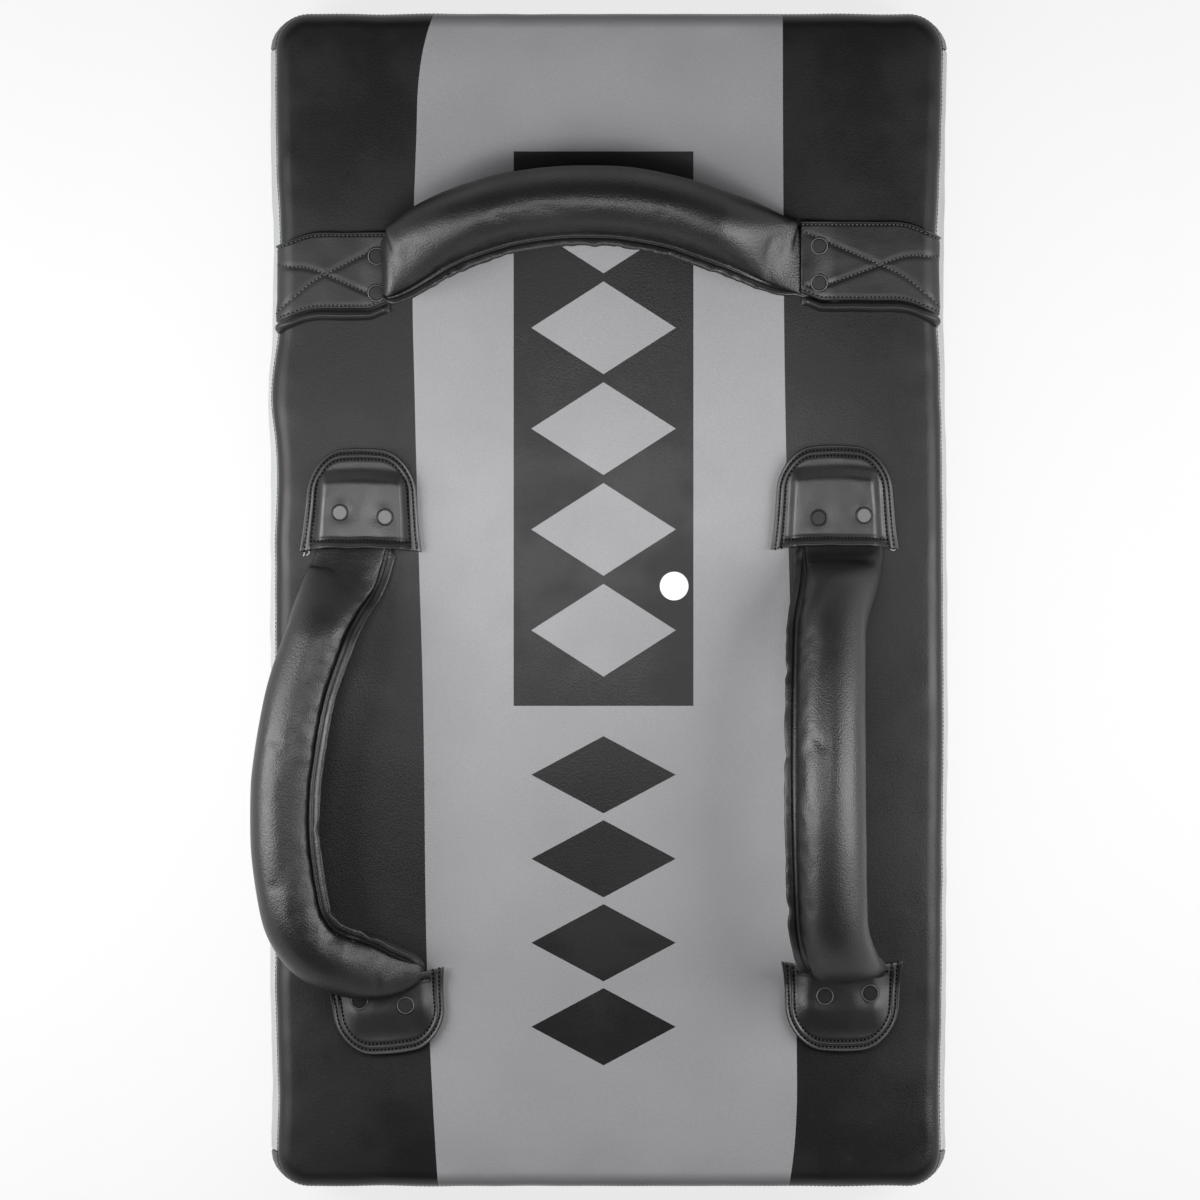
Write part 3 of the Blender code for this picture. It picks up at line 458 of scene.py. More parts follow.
@dataclass(frozen=True)
class PrintedFinish(LeatherFinish):
    """Black leather with a grey band printed down its middle and a plain ornament of diamonds on it."""

    half_length: float = 0.350
    column_x: float = -0.003
    panel_half_width: float = 0.0535
    panel_top: float = 0.267
    panel_bottom: float = -0.063
    upper_pitch: float = 0.0600
    upper_count: int = 5
    lower_start: float = -0.279
    lower_pitch: float = 0.0500
    lower_count: int = 4
    diamond_half_width: float = 0.0430
    diamond_share: float = 0.46
    dot: tuple[float, float] = (0.0390, 0.0083)
    dot_radius: float = 0.0085
    mottle: float = 0.30
    clouding: float = 0.16
    least_facing: float = 0.12
    # Edges of the band: share of the length from the bottom, and distance from the middle line
    left_edge: tuple[tuple[float, float], ...] = (
        (0.0, -0.1015), (0.083, -0.1050), (0.185, -0.1080), (0.42, -0.1105), (0.55, -0.1132), (0.68, -0.1155),
        (0.76, -0.1166), (0.89, -0.1145), (0.955, -0.1120), (1.0, -0.1040),
    )
    right_edge: tuple[tuple[float, float], ...] = (
        (0.0, 0.1075), (0.052, 0.1115), (0.13, 0.1120), (0.25, 0.1118), (0.45, 0.1088), (0.68, 0.1050),
        (0.85, 0.1040), (1.0, 0.1037),
    )

    def edge(self, nodes: NodeTree, share: Socket, points: Sequence[tuple[float, float]]) -> Socket:
        """Distance of one of the band's edges from the middle line.

        Args:
            nodes: the material's node builder.
            share: place along the length, from 0 at the bottom to 1.
            points: the edge's course.

        Returns:
            The distance, in metres.
        """
        span = 0.25
        node = nodes.add("FloatCurve", {"Value": share})
        curve = node.mapping.curves[0]
        scaled = [(x, abs(value) / span) for x, value in points]
        curve.points[0].location = scaled[0]
        curve.points[-1].location = scaled[-1]
        for x, value in scaled[1:-1]:
            curve.points.new(x, value)
        node.mapping.update()
        return nodes.math("MULTIPLY", node.outputs["Value"], span)

    def ink(self, nodes: NodeTree, place: Socket, base: Socket) -> Socket:
        """Prints the band, the black panel on it, both columns of diamonds and the white dot.

        Args:
            nodes: the material's node builder.
            place: object coordinates.
            base: the leather's colour.

        Returns:
            The printed colour.
        """
        parts = nodes.add("SeparateXYZ", {"Vector": place})
        x, y = parts.outputs["X"], parts.outputs["Y"]
        share = nodes.math("MULTIPLY_ADD", y, 0.5 / self.half_length, 0.5, clamp=True)
        left_x = nodes.math("MULTIPLY", self.edge(nodes, share, self.left_edge), -1.0)
        left = nodes.math("GREATER_THAN", x, left_x)
        right = nodes.math("LESS_THAN", x, self.edge(nodes, share, self.right_edge))
        facing = nodes.add("SeparateXYZ", {"Vector": nodes.add("NewGeometry").outputs["Normal"]})
        upwards = nodes.math("GREATER_THAN", facing.outputs["Z"], self.least_facing)
        band = nodes.math("MULTIPLY", nodes.math("MULTIPLY", left, right), upwards)
        mottle = nodes.noise(place, 0.0011, 4.0, 0.65)
        cloud = nodes.noise(place, 0.05, 2.0)
        lit = nodes.math("MULTIPLY_ADD", mottle, self.mottle, 1 - self.mottle / 2)
        clouded = nodes.math("MULTIPLY_ADD", cloud, self.clouding, 1 - self.clouding / 2)
        lit = nodes.math("MULTIPLY", lit, clouded)
        grey = nodes.add("VectorMath", {0: Tone.GREY.value, "Scale": lit}, operation="SCALE").outputs[0]
        colour = nodes.blend(band, base, grey)
        centred = nodes.math("SUBTRACT", x, self.column_x)
        middle = (self.panel_top + self.panel_bottom) / 2
        from_middle = nodes.math("ABSOLUTE", nodes.math("SUBTRACT", y, middle))
        tall = nodes.math("LESS_THAN", from_middle, (self.panel_top - self.panel_bottom) / 2)
        wide = nodes.math("LESS_THAN", nodes.math("ABSOLUTE", centred), self.panel_half_width)
        panel = nodes.math("MULTIPLY", nodes.math("MULTIPLY", tall, wide), band)
        colour = nodes.blend(panel, colour, base)
        upper_start = middle - self.upper_pitch * self.upper_count / 2
        upper = self.column(nodes, centred, y, upper_start, self.upper_pitch, self.upper_count)
        colour = nodes.blend(upper, colour, grey)
        lower = self.column(nodes, centred, y, self.lower_start, self.lower_pitch, self.lower_count)
        colour = nodes.blend(lower, colour, base)
        away_x = nodes.math("SUBTRACT", x, self.dot[0])
        away_y = nodes.math("SUBTRACT", y, self.dot[1])
        across, along = nodes.math("MULTIPLY", away_x, away_x), nodes.math("MULTIPLY", away_y, away_y)
        squares = nodes.math("ADD", across, along)
        dot = nodes.math("MULTIPLY", nodes.math("LESS_THAN", squares, self.dot_radius**2), band)
        return nodes.blend(dot, colour, opaque(Tone.WHITE.value))

    def column(self, nodes: NodeTree, x: Socket, y: Socket, start: float, pitch: float, count: int) -> Socket:
        """One column of diamonds.

        Args:
            nodes: the material's node builder.
            x: distance from the column's middle line.
            y: place along the length.
            start: y of the column's lower end.
            pitch: distance from one diamond to the next.
            count: number of diamonds.

        Returns:
            1 inside a diamond, otherwise 0.
        """
        sizes = {
            "X": x, "Y": y, "Start": start, "Pitch": pitch, "Half Length": pitch * self.diamond_share,
            "Half Width": self.diamond_half_width, "Count": float(count),
        }
        return nodes.group(diamond_column(), sizes).outputs["Mask"]


@dataclass(frozen=True)
class ThreadFinish:
    """Twisted sewing thread."""

    name: str
    colour: Colour
    roughness: float = 0.5
    specular: float = 0.5
    relief: float = 0.00004

    def make(self) -> bpy.types.Material:
        """Builds the material."""
        material, nodes, shader = start_material(self.name)
        shader.inputs["Specular IOR Level"].default_value = self.specular
        place = nodes.place()
        fibres = nodes.noise(place, 0.0002, 2.0)
        dark = tuple(0.55 * part for part in self.colour)
        nodes.put(shader.inputs["Base Color"], nodes.blend(fibres, opaque(dark), opaque(self.colour)))
        nodes.put(shader.inputs["Roughness"], nodes.ramp(
            fibres, 0.2, 0.8, self.roughness - 0.1, self.roughness + 0.1))
        nodes.bump(shader, fibres, self.relief)
        return material


@dataclass(frozen=True)
class FoamFinish:
    """Cellular foam: small pores, more open on the soft core."""

    name: str
    colour: Colour
    pore: float
    relief: float

    def make(self) -> bpy.types.Material:
        """Builds the material."""
        material, nodes, shader = start_material(self.name)
        place = nodes.place()
        cells = nodes.add("TexVoronoi", {"Vector": place, "Scale": 1 / self.pore}, feature="F1")
        open_cell = nodes.ramp(cells.outputs["Distance"], 0.1, 0.6)
        tone = nodes.noise(place, 0.03, 3.0)
        dark = tuple(0.6 * part for part in self.colour)
        mixed = nodes.math("MULTIPLY", open_cell, nodes.ramp(tone, 0.2, 0.8, 0.75, 1.0))
        nodes.put(shader.inputs["Base Color"], nodes.blend(mixed, opaque(dark), opaque(self.colour)))
        nodes.put(shader.inputs["Roughness"], nodes.ramp(tone, 0.2, 0.8, 0.85, 0.98))
        nodes.bump(shader, open_cell, self.relief)
        return material


@dataclass(frozen=True)
class WebbingFinish:
    """Woven nylon strap."""

    name: str
    colour: Colour
    pitch: float = 0.0016
    relief: float = 0.00025

    def make(self) -> bpy.types.Material:
        """Builds the material."""
        material, nodes, shader = start_material(self.name)
        weave = nodes.group(woven_ribs(), {"Place": nodes.place(), "Pitch": self.pitch})
        dark = tuple(0.4 * part for part in self.colour)
        nodes.put(shader.inputs["Base Color"], nodes.blend(
            weave.outputs["Shade"], opaque(dark), opaque(self.colour)))
        nodes.put(shader.inputs["Roughness"], nodes.ramp(weave.outputs["Shade"], 0.0, 1.0, 0.85, 0.6))
        nodes.bump(shader, weave.outputs["Height"], self.relief)
        return material


@dataclass(frozen=True)
class MetalFinish:
    """Blackened metal of the rivets, rubbed a little brighter in places."""

    name: str
    colour: Colour
    rubbed: Colour
    roughness: float = 0.32
    metallic: float = 0.85
    relief: float = 0.00003

    def make(self) -> bpy.types.Material:
        """Builds the material."""
        material, nodes, shader = start_material(self.name)
        place = nodes.place()
        wear = nodes.group(handling_wear(), {"Place": place, "Amount": 0.8})
        speckle = nodes.ramp(nodes.noise(place, 0.0007, 4.0, 0.7), 0.5, 0.75)
        mask = nodes.math("MAXIMUM", wear.outputs["Scuff"], nodes.math("MULTIPLY", speckle, 0.35))
        nodes.put(shader.inputs["Base Color"], nodes.blend(mask, opaque(self.colour), opaque(self.rubbed)))
        shader.inputs["Metallic"].default_value = self.metallic
        nodes.put(shader.inputs["Roughness"], nodes.ramp(
            speckle, 0.0, 1.0, self.roughness, self.roughness + 0.15))
        nodes.bump(shader, speckle, self.relief)
        return material


class Palette:
    """Every finish of the shield, made once."""

    def __init__(self) -> None:
        """Builds the materials."""
        self.panel = PrintedFinish(
            "printed back leather", Tone.BLACK.value, (0.022, 0.0215, 0.0225), 0.42,
            grain_depth=0.00006, specular=0.38,
        ).make()
        self.cover = LeatherFinish(
            "cover leather", Tone.BLACK.value, (0.022, 0.0215, 0.0225), 0.44, specular=0.38,
        ).make()
        self.handle = LeatherFinish(
            "handle leather", (0.0080, 0.0076, 0.0082), (0.018, 0.0175, 0.0182), 0.42, grain_depth=0.00012,
            specular=0.54,
        ).make()
        self.patch = LeatherFinish(
            "patch leather", (0.0120, 0.0115, 0.0124), (0.024, 0.0235, 0.0245), 0.40, specular=0.68,
        ).make()
        self.strap = LeatherFinish(
            "strap leather", (0.0080, 0.0076, 0.0083), (0.020, 0.0195, 0.0205), 0.46, specular=0.55,
        ).make()
        self.gusset = LeatherFinish(
            "grey gusset leather", (0.43, 0.44, 0.445), (0.39, 0.395, 0.40), 0.48, wear=0.2,
            grain_depth=0.00003, crease_share=0.95,
        ).make()
        self.black_thread = ThreadFinish("black thread", (0.030, 0.029, 0.031)).make()
        # Lighter copy of the black thread: painted highlight on the strap's dark stitches.
        self.highlight_thread = ThreadFinish("thread with painted highlight", (0.11, 0.11, 0.115)).make()
        self.white_thread = ThreadFinish("white thread", (0.78, 0.78, 0.76)).make()
        # Near-black and without reflection: painted shade inside the stitch holes and in the rings round the
        # rivet caps.
        self.needle_hole_shade = ThreadFinish("needle hole shade", (0.002, 0.002, 0.002), 0.9, 0.0).make()
        self.dense_foam = FoamFinish("dense foam", (0.16, 0.16, 0.17), 0.0012, 0.0001).make()
        self.core_foam = FoamFinish("core foam", (0.80, 0.80, 0.77), 0.0022, 0.0004).make()
        self.firm_foam = FoamFinish("firm foam", (0.25, 0.33, 0.42), 0.0012, 0.0001).make()
        self.webbing = WebbingFinish("nylon webbing", (0.028, 0.028, 0.030)).make()
        # Three copies of one blackened metal at different brightness: the grey is painted light for caps that
        # catch the lamps, the darkest is painted shade.
        self.lit_rivet = MetalFinish(
            "rivet with painted light", (0.125, 0.123, 0.125), (0.22, 0.217, 0.217), 0.45, 0.4,
        ).make()
        self.painted_rivet = MetalFinish(
            "painted rivet", (0.020, 0.0196, 0.020), (0.05, 0.05, 0.05), 0.38, 0.3,
        ).make()
        self.shaded_rivet = MetalFinish(
            "rivet with painted shade", (0.006, 0.006, 0.0062), (0.03, 0.03, 0.03), 0.42, 0.3,
        ).make()


# Shape of the body


@dataclass(frozen=True)
class Pull:
    """A place where an edge of the body is drawn in, or swells where the amount is below zero."""

    side: int
    y: float
    reach: float
    amount: float


@dataclass(frozen=True)
class BodyShape:
    """The padded block: its size at the seams, its rolled edges, crown and pulls, as in the model."""

    length: float = 0.698
    width: float = 0.396
    depth: float = 0.150
    corner: float = 0.020
    back_roll: float = 0.009
    front_roll: float = 0.012
    seam_turn: float = 0.002
    crown: float = 0.004
    fullness: float = 4.0
    side_bulge: float = 0.0050
    end_bulge: float = 0.0015
    leather: float = 0.0015
    tuck: float = 0.0016
    side_wave: float = 0.0004
    end_wave: float = 0.0005
    pulls: tuple[Pull, ...] = (
        Pull(-1, 0.196, 0.055, 0.0032), Pull(1, 0.196, 0.060, 0.0034),
        Pull(-1, 0.124, 0.024, -0.0030), Pull(-1, 0.076, 0.020, 0.0012),
        Pull(-1, -0.296, 0.040, 0.0018), Pull(1, 0.330, 0.030, -0.0006), Pull(1, -0.295, 0.050, 0.0012),
        Pull(1, -0.060, 0.090, -0.0010),
    )

    def crown_drop(self, x: float, y: float) -> float:
        """How far the crowned back lies below its highest point."""
        across = 1 - min(1.0, abs(2 * x / self.width) ** self.fullness)
        along = 1 - min(1.0, abs(2 * y / self.length) ** self.fullness)
        return self.crown * (1 - across * along)

    def settle(self, point: Vector) -> Vector:
        """Moves a point sideways with the bulging sides, the pulls of the straps and the edge's waves.

        Args:
            point: a place on the plain padded block.

        Returns:
            Its place on the sewn body.
        """
        x, y, z = point
        low = self.front_roll + self.seam_turn
        high = self.depth - self.crown - self.back_roll - self.seam_turn
        edge_x = min(1.0, 2 * abs(x) / self.width) ** 6
        edge_y = min(1.0, 2 * abs(y) / self.length) ** 12
        rise = (z - low) / (high - low)
        swell = math.sin(math.pi * rise) if 0 < rise < 1 else 0.0
        side = 1 if x > 0 else -1
        inwards = sum(p.amount * bell(y - p.y, p.reach) for p in self.pulls if p.side == side)
        inwards *= smoothstep(rise)
        inwards += self.side_wave * ripple(y / 0.022, 0, side) * min(1.0, max(0.0, rise))
        x += side * edge_x * (self.side_bulge * swell - inwards)
        y += math.copysign(1, y) * edge_y * (self.end_bulge * swell + self.end_wave * ripple(x / 0.03, 7.0))
        return Vector((x, y, z))

    def on_back(self, x: float, y: float, lift: float) -> Vector:
        """A point above the back.

        Args:
            x: place across, which past the flat runs round the rolled side edge.
            y: place along.
            lift: height above the leather.

        Returns:
            The point.
        """
        flat = self.width / 2 - self.back_roll
        side = math.copysign(1, x)
        excess = abs(x) - flat
        if excess <= 0:
            return self.settle(Vector((x, y, self.depth - self.crown_drop(x, y) + lift)))
        turn = min(excess / self.back_roll, math.pi / 2)
        top = self.depth - self.crown_drop(flat + self.back_roll * math.sin(turn), y)
        below = max(0.0, excess - self.back_roll * math.pi / 2)
        reach = self.back_roll + lift
        out = flat + reach * math.sin(turn)
        height = top - self.back_roll + reach * math.cos(turn) - below
        return self.settle(Vector((side * out, y, height)))

    def roll_out(self, distance: float, roll: float) -> tuple[float, float]:
        """Follows a panel from the centre of a corner outwards over its rolled edge.

        Args:
            distance: how far along the leather.
            roll: radius of the rolled edge.

        Returns:
            How far out the point lies in plan, and how far it has dropped.
        """
        flat = self.corner - roll
        if distance <= flat:
            return distance, 0.0
        turn = (distance - flat) / roll
        if turn <= math.pi / 2:
            return flat + roll * math.sin(turn), roll * (1 - math.cos(turn))
        below = distance - flat - roll * math.pi / 2
        straight = self.seam_turn - self.tuck / 2
        if below <= straight:
            return self.corner, roll + below
        bend = min(math.pi / 2, (below - straight) / (self.tuck / 2))
        out = self.corner - self.tuck / 2 * (1 - math.cos(bend)) * 2
        return out, roll + straight + self.tuck / 2 * math.sin(bend)

    def reach(self, roll: float) -> float:
        """Length of leather from the centre of a corner to the tucked edge."""
        return self.corner - roll + (roll + self.tuck / 2) * math.pi / 2 + self.seam_turn - self.tuck / 2

    def panel_point(self, u: float, v: float, roll: float) -> tuple[float, float, float]:
        """Folds a panel's flat pattern over its rolled edge.

        Args:
            u: place across on the pattern.
            v: place along on the pattern.
            roll: radius of the rolled edge.

        Returns:
            The point's x and y in plan, and how far it has dropped.
        """
        centre_x = self.width / 2 - self.corner
        centre_y = self.length / 2 - self.corner
        a = max(abs(u) - centre_x, 0.0)
        b = max(abs(v) - centre_y, 0.0)
        out, drop = self.roll_out(max(a, b), roll)
        if a and b:
            size = math.hypot(a, b)
            x, y = centre_x + out * a / size, centre_y + out * b / size
        elif a:
            x, y = centre_x + out, abs(v)
        elif b:
            x, y = abs(u), centre_y + out
        else:
            x, y = abs(u), abs(v)
        return math.copysign(x, u), math.copysign(y, v), drop


SHAPE = BodyShape()


# Sewing


class Seamstress:
    """Collects the stitches and the painted shade of the stitch holes and the rivets' rings for one
    sub-assembly, and makes each kind a single piece.
    """

    def __init__(
        self, name: str, thread: float = 0.0004, hole: float = 0.00042, hole_length: float = 0.00042
    ) -> None:
        """Starts the seam's meshes.

        Args:
            name: the sub-assembly's name.
            thread: radius of the thread.
            hole: half the width of a needle hole.
            hole_length: half its length along the seam.
        """
        self.name = name
        self.thread = thread
        self.hole = hole
        self.stretch = hole_length / hole
        self.stitches = bmesh.new()
        # Painted shade: dark marks for the stitch holes and the rings round rivet caps.
        self.holes = bmesh.new()
        self.tails = bmesh.new()
        self.stitch = self.pattern("stitch", lambda bm: bmesh.ops.create_uvsphere(
            bm, u_segments=6, v_segments=5, radius=1))
        # Each stitch hole is a small near-black cap: painted shade where the hole is.
        self.dimple = self.pattern("needle hole shade", lambda bm: bmesh.ops.create_cone(
            bm, cap_ends=True, segments=6, radius1=hole, radius2=hole * 0.9, depth=hole))

    def pattern(self, name: str, make: Callable[[bmesh.types.BMesh], dict]) -> bpy.types.Mesh:
        """A small mesh that is copied many times."""
        bm = bmesh.new()
        make(bm)
        mesh = bpy.data.meshes.new(name)
        bm.to_mesh(mesh)
        bm.free()
        return mesh

    def stamp(self, bm: bmesh.types.BMesh, pattern: bpy.types.Mesh, place: Matrix) -> None:
        """Adds a copy of a pattern at a place."""
        copy = pattern.copy()
        copy.transform(place)
        bm.from_mesh(copy)
        bpy.data.meshes.remove(copy)

    def sew(
        self,
        path: Callable[[float], Vector],
        length: float,
        pitch: float,
        share: float = 0.62,
        outwards: Callable[[float], Vector] | None = None,
    ) -> None:
        """Sews a row of stitches along a path that lies on a surface.

        Args:
            path: place on the surface at a share of the way, from 0 to 1.
            length: length of the path.
            pitch: distance from one needle hole to the next.
            share: part of the pitch that the thread shows.
            outwards: direction out of the surface at a share of the way, or None for straight up.
        """
        count = max(1, round(length / pitch))
        for i in range(count):
            start = path(i / count)
            end = path((i + 1) / count)
            middle = path((i + 0.5) / count)
            normal = outwards((i + 0.5) / count) if outwards else UP
            along = (end - start).normalized()
            normal = (normal - along * normal.dot(along)).normalized()
            side = normal.cross(along)
            turn = Matrix((along, side, normal)).transposed().to_4x4()
            half = (end - start).length / 2 * share
            size = Matrix.Diagonal((half, self.thread, self.thread, 1))
            thread_place = Matrix.Translation(middle + normal * self.thread * 0.3)
            self.stamp(self.stitches, self.stitch, thread_place @ turn @ size)
            hole_place = Matrix.Translation(start + normal * self.hole * 0.1)
            self.stamp(self.holes, self.dimple, hole_place @ turn @ Matrix.Diagonal((self.stretch, 1, 1, 1)))

    def loose_end(self, path: Callable[[float], Vector], steps: int = 5) -> None:
        """Adds a short white end of thread that lies along a path."""
        for i in range(steps):
            start, end = path(i / steps), path((i + 1) / steps)
            turn = (end - start).to_track_quat("X", "Z").to_matrix().to_4x4()
            size = Matrix.Diagonal(((end - start).length * 0.62, self.thread * 0.8, self.thread * 0.8, 1))
            self.stamp(self.tails, self.stitch, Matrix.Translation((start + end) / 2) @ turn @ size)

    def seat(self, place: Vector, radius: float) -> None:
        """Adds a near-black ring under a rivet's cap: painted shadow of the gap round the cap, where it
        presses into the leather.
        """
        bmesh.ops.create_cone(
            self.holes, cap_ends=True, segments=32, radius1=radius, radius2=radius, depth=0.0006,
            matrix=Matrix.Translation(place - UP * 0.0002),
        )

    def finish(self, thread: bpy.types.Material, palette: Palette) -> None:
        """Makes the pieces of the seam, which ride on the shield's body.

        Args:
            thread: finish of the stitches.
            palette: finishes of the holes and the loose ends.
        """
        # The near-black pieces are painted shade: the stitch holes and the rings round the rivet caps.
        kinds = (
            ("thread", self.stitches, thread), ("needle_hole_shades", self.holes, palette.needle_hole_shade),
            ("thread_ends", self.tails, palette.white_thread),
        )
        for kind, bm, material in kinds:
            if not bm.faces:
                bm.free()
                continue
            piece = finished(f"{self.name}_{kind}", bm, material, "webbing", sharp=60)
            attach(piece, "shield")


# The cover


@dataclass
class Cover:
    """The leather cover: two rolled panels, four gussets and the stitching along both seams."""

    palette: Palette
    shape: BodyShape = SHAPE
    panel_step: float = 0.0034
    roll_step: float = 0.0013
    gusset_step: float = 0.0042
    stitch_pitch: float = 0.0025
    stitch_inset: float = 0.0021
    stitch_lift: float = 0.0001
    hollow: float = 0.0008
    pucker: float = 0.00045
    buckle: float = 0.0006
    crinkle: float = 0.0004

    def build(self) -> None:
        """Makes every piece of the cover."""
        self.panel("back_leather", self.palette.panel, self.shape.back_roll, True, "back_panel")
        self.panel("striking_leather", self.palette.cover, self.shape.front_roll, False, "striking_panel")
        straight = self.shape.length / 2 - self.shape.corner
        whole = self.outline_length()
        side = 2 * straight
        end = (whole - 2 * side) / 2
        grey, black = (self.palette.gusset, "grey_leather"), (self.palette.cover, "black_leather")
        self.gusset("right_gusset", 0.0, side, *grey)
        self.gusset("top_gusset", side, side + end, *black)
        self.gusset("left_gusset", side + end, 2 * side + end, *grey)
        self.gusset("bottom_gusset", 2 * side + end, whole, *black)
        self.stitches()

    def panel(self, name: str, material: bpy.types.Material, roll: float, back: bool, node: str) -> None:
        """One broad panel with its rolled edge and the fold that is sewn into the seam.

        Args:
            name: the piece's name.
            material: its finish.
            roll: radius of the rolled edge.
            back: whether it is the back panel, which is crowned.
            node: the model's node that it replaces.
        """
        shape = self.shape
        centre_x = shape.width / 2 - shape.corner
        centre_y = shape.length / 2 - shape.corner
        edge = shape.reach(roll)
        flat = shape.corner - roll
        lines = []
        for centre in (centre_x, centre_y):
            half = graded([
                (0, centre, self.panel_step), (centre, centre + flat, self.panel_step),
                (centre + flat, centre + edge - shape.tuck, self.roll_step),
                (centre + edge - shape.tuck, centre + edge, self.roll_step / 3),
            ])
            lines.append(mirrored(half))
        bm = grid_on_lines(*lines)
        for vert in bm.verts:
            x, y, drop = shape.panel_point(vert.co.x, vert.co.y, roll)
            if back:
                z = shape.depth - shape.crown_drop(x, y) - drop - self.slack(x, y)
            else:
                z = drop
            vert.co = shape.settle(Vector((x, y, z)))
        face_towards(bm, UP if back else -UP)
        piece = finished(name, bm, material, "black_leather", wall=shape.leather)
        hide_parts(node)
        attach(piece, "shield")

    def slack(self, x: float, y: float) -> float:
        """How far the back's leather lies below its smooth crown: soft hollows and puckers at the seams."""
        shape = self.shape
        edge = min(shape.width / 2 - abs(x), shape.length / 2 - abs(y))
        hollows = self.hollow * (1 + ripple(x / 0.075, y / 0.10, 3.0))
        puckers = self.pucker * (1 + ripple(x / 0.016, y / 0.016, 5.0)) * bell(edge - 0.006, 0.012)
        return hollows + puckers

    def outline_length(self) -> float:
        """Length of the seams' outline in plan."""
        shape = self.shape
        return 2 * (shape.length + shape.width - 4 * shape.corner) + math.tau * shape.corner

    def outline(self, distance: float) -> tuple[Vector, Vector]:
        """Follows the seams' outline from the right side's lower end, anticlockwise.

        Args:
            distance: how far along it.

        Returns:
            The place in plan, and the outward direction there.
        """
        shape = self.shape
        half_x = shape.width / 2 - shape.corner
        half_y = shape.length / 2 - shape.corner
        arc = shape.corner * math.pi / 2
        corners = (Vector((half_x, half_y)), Vector((-half_x, half_y)), Vector((-half_x, -half_y)),
                   Vector((half_x, -half_y)))
        distance %= self.outline_length()
        for quarter, corner in enumerate(corners):
            start = quarter * math.pi / 2
            straight = 2 * (half_y if quarter % 2 == 0 else half_x)
            normal = Vector((math.cos(start), math.sin(start)))
            along = Vector((-normal.y, normal.x))
            if distance <= straight:
                return corner + normal * shape.corner - along * (straight - distance), normal
            distance -= straight
            if distance <= arc:
                angle = start + distance / shape.corner
                normal = Vector((math.cos(angle), math.sin(angle)))
                return corner + normal * shape.corner, normal
            distance -= arc
        normal = Vector((1, 0))
        return Vector((half_x + shape.corner, -half_y)), normal

    def gusset_levels(self) -> tuple[float, float]:
        """Heights of the two seams."""
        shape = self.shape
        low = shape.front_roll + shape.seam_turn + GAP
        high = shape.depth - shape.crown - shape.back_roll - shape.seam_turn - GAP
        return low, high

    def gusset(self, node: str, start: float, stop: float, material: bpy.types.Material, slot: str) -> None:
        """One band of the sides, with all its edges tucked in.

        Args:
            node: the model's node that it replaces.
            start: where it starts on the outline.
            stop: where it ends.
            material: its finish.
            slot: its material slot's name; not used.
        """
        shape = self.shape
        low, high = self.gusset_levels()
        fold = shape.tuck
        across = graded([
            (start, start + fold, fold / 4), (start + fold, stop - fold, self.gusset_step),
            (stop - fold, stop, fold / 4),
        ])
        levels = graded([
            (low, low + fold, fold / 4), (low + fold, high - fold, self.gusset_step),
            (high - fold, high, fold / 4),
        ])
        bm = grid_on_lines(across, levels)
        for vert in bm.verts:
            run, z = vert.co.x, vert.co.y
            plan, normal = self.outline(run)
            margin = min(run - start, stop - run, z - low, high - z)
            tucked = fold * (1 - math.sqrt(max(0.0, 1 - (1 - min(1.0, margin / fold)) ** 2)))
            buckle = self.buckle * ripple(run / 0.045, z / 0.06, 11.0)
            buckle += self.crinkle * ripple(run / 0.013, z / 0.05, 2.0)
            inner = plan - normal * (tucked - buckle * smoothstep(margin / 0.012))
            vert.co = shape.settle(Vector((inner.x, inner.y, z)))
        middle = self.outline((start + stop) / 2)[1]
        face_towards(bm, Vector((middle.x, middle.y, 0)))
        piece = finished(f"{node}_leather", bm, material, slot, wall=shape.leather)
        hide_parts(node)
        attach(piece, "shield")

    def stitches(self) -> None:
        """A row of top stitches on the gussets just below the back seam, and one above the front seam."""
        low, high = self.gusset_levels()
        whole = self.outline_length()
        for name, level in (("back_seam", high - self.stitch_inset), ("front_seam", low + self.stitch_inset)):
            seam = Seamstress(name, thread=0.00038, hole=0.0004)

            def path(share: float, z: float = level) -> Vector:
                """Place on the seam."""
                plan, normal = self.outline(share * whole)
                inner = plan + normal * self.stitch_lift
                return self.shape.settle(Vector((inner.x, inner.y, z)))

            def outwards(share: float) -> Vector:
                """Direction out of the seam."""
                return self.outline(share * whole)[1].to_3d()

            seam.sew(path, whole, self.stitch_pitch, 0.66, outwards)
            seam.finish(self.palette.black_thread, self.palette)


# Anchors


@dataclass(frozen=True)
class Mouth:
    """Where a handle leaves the back: the middle of the opening, and the direction away from the handle."""

    name: str
    x: float
    y: float
    away: tuple[float, float]

    def place(self, u: float, v: float, lift: float) -> Vector:
        """A point on the back: u across, v away from the handle, lifted off the leather."""
        away = Vector(self.away).normalized()
        across = Vector((-away.y, away.x))
        plan = Vector((self.x, self.y)) + across * u + away * v
        return SHAPE.on_back(plan.x, plan.y, lift)


class RivetLook(Enum):
    """How a rivet's cap and its rim are coloured: the grey finish is painted light and the black one painted
    shade, lighter and darker copies of one metal.
    """

    RUBBED = "rubbed grey cap in a black rim"
    # All black: painted shade on cap and rim.
    BLACK = "black"
    OUTLINED = "black cap with a rubbed edge"


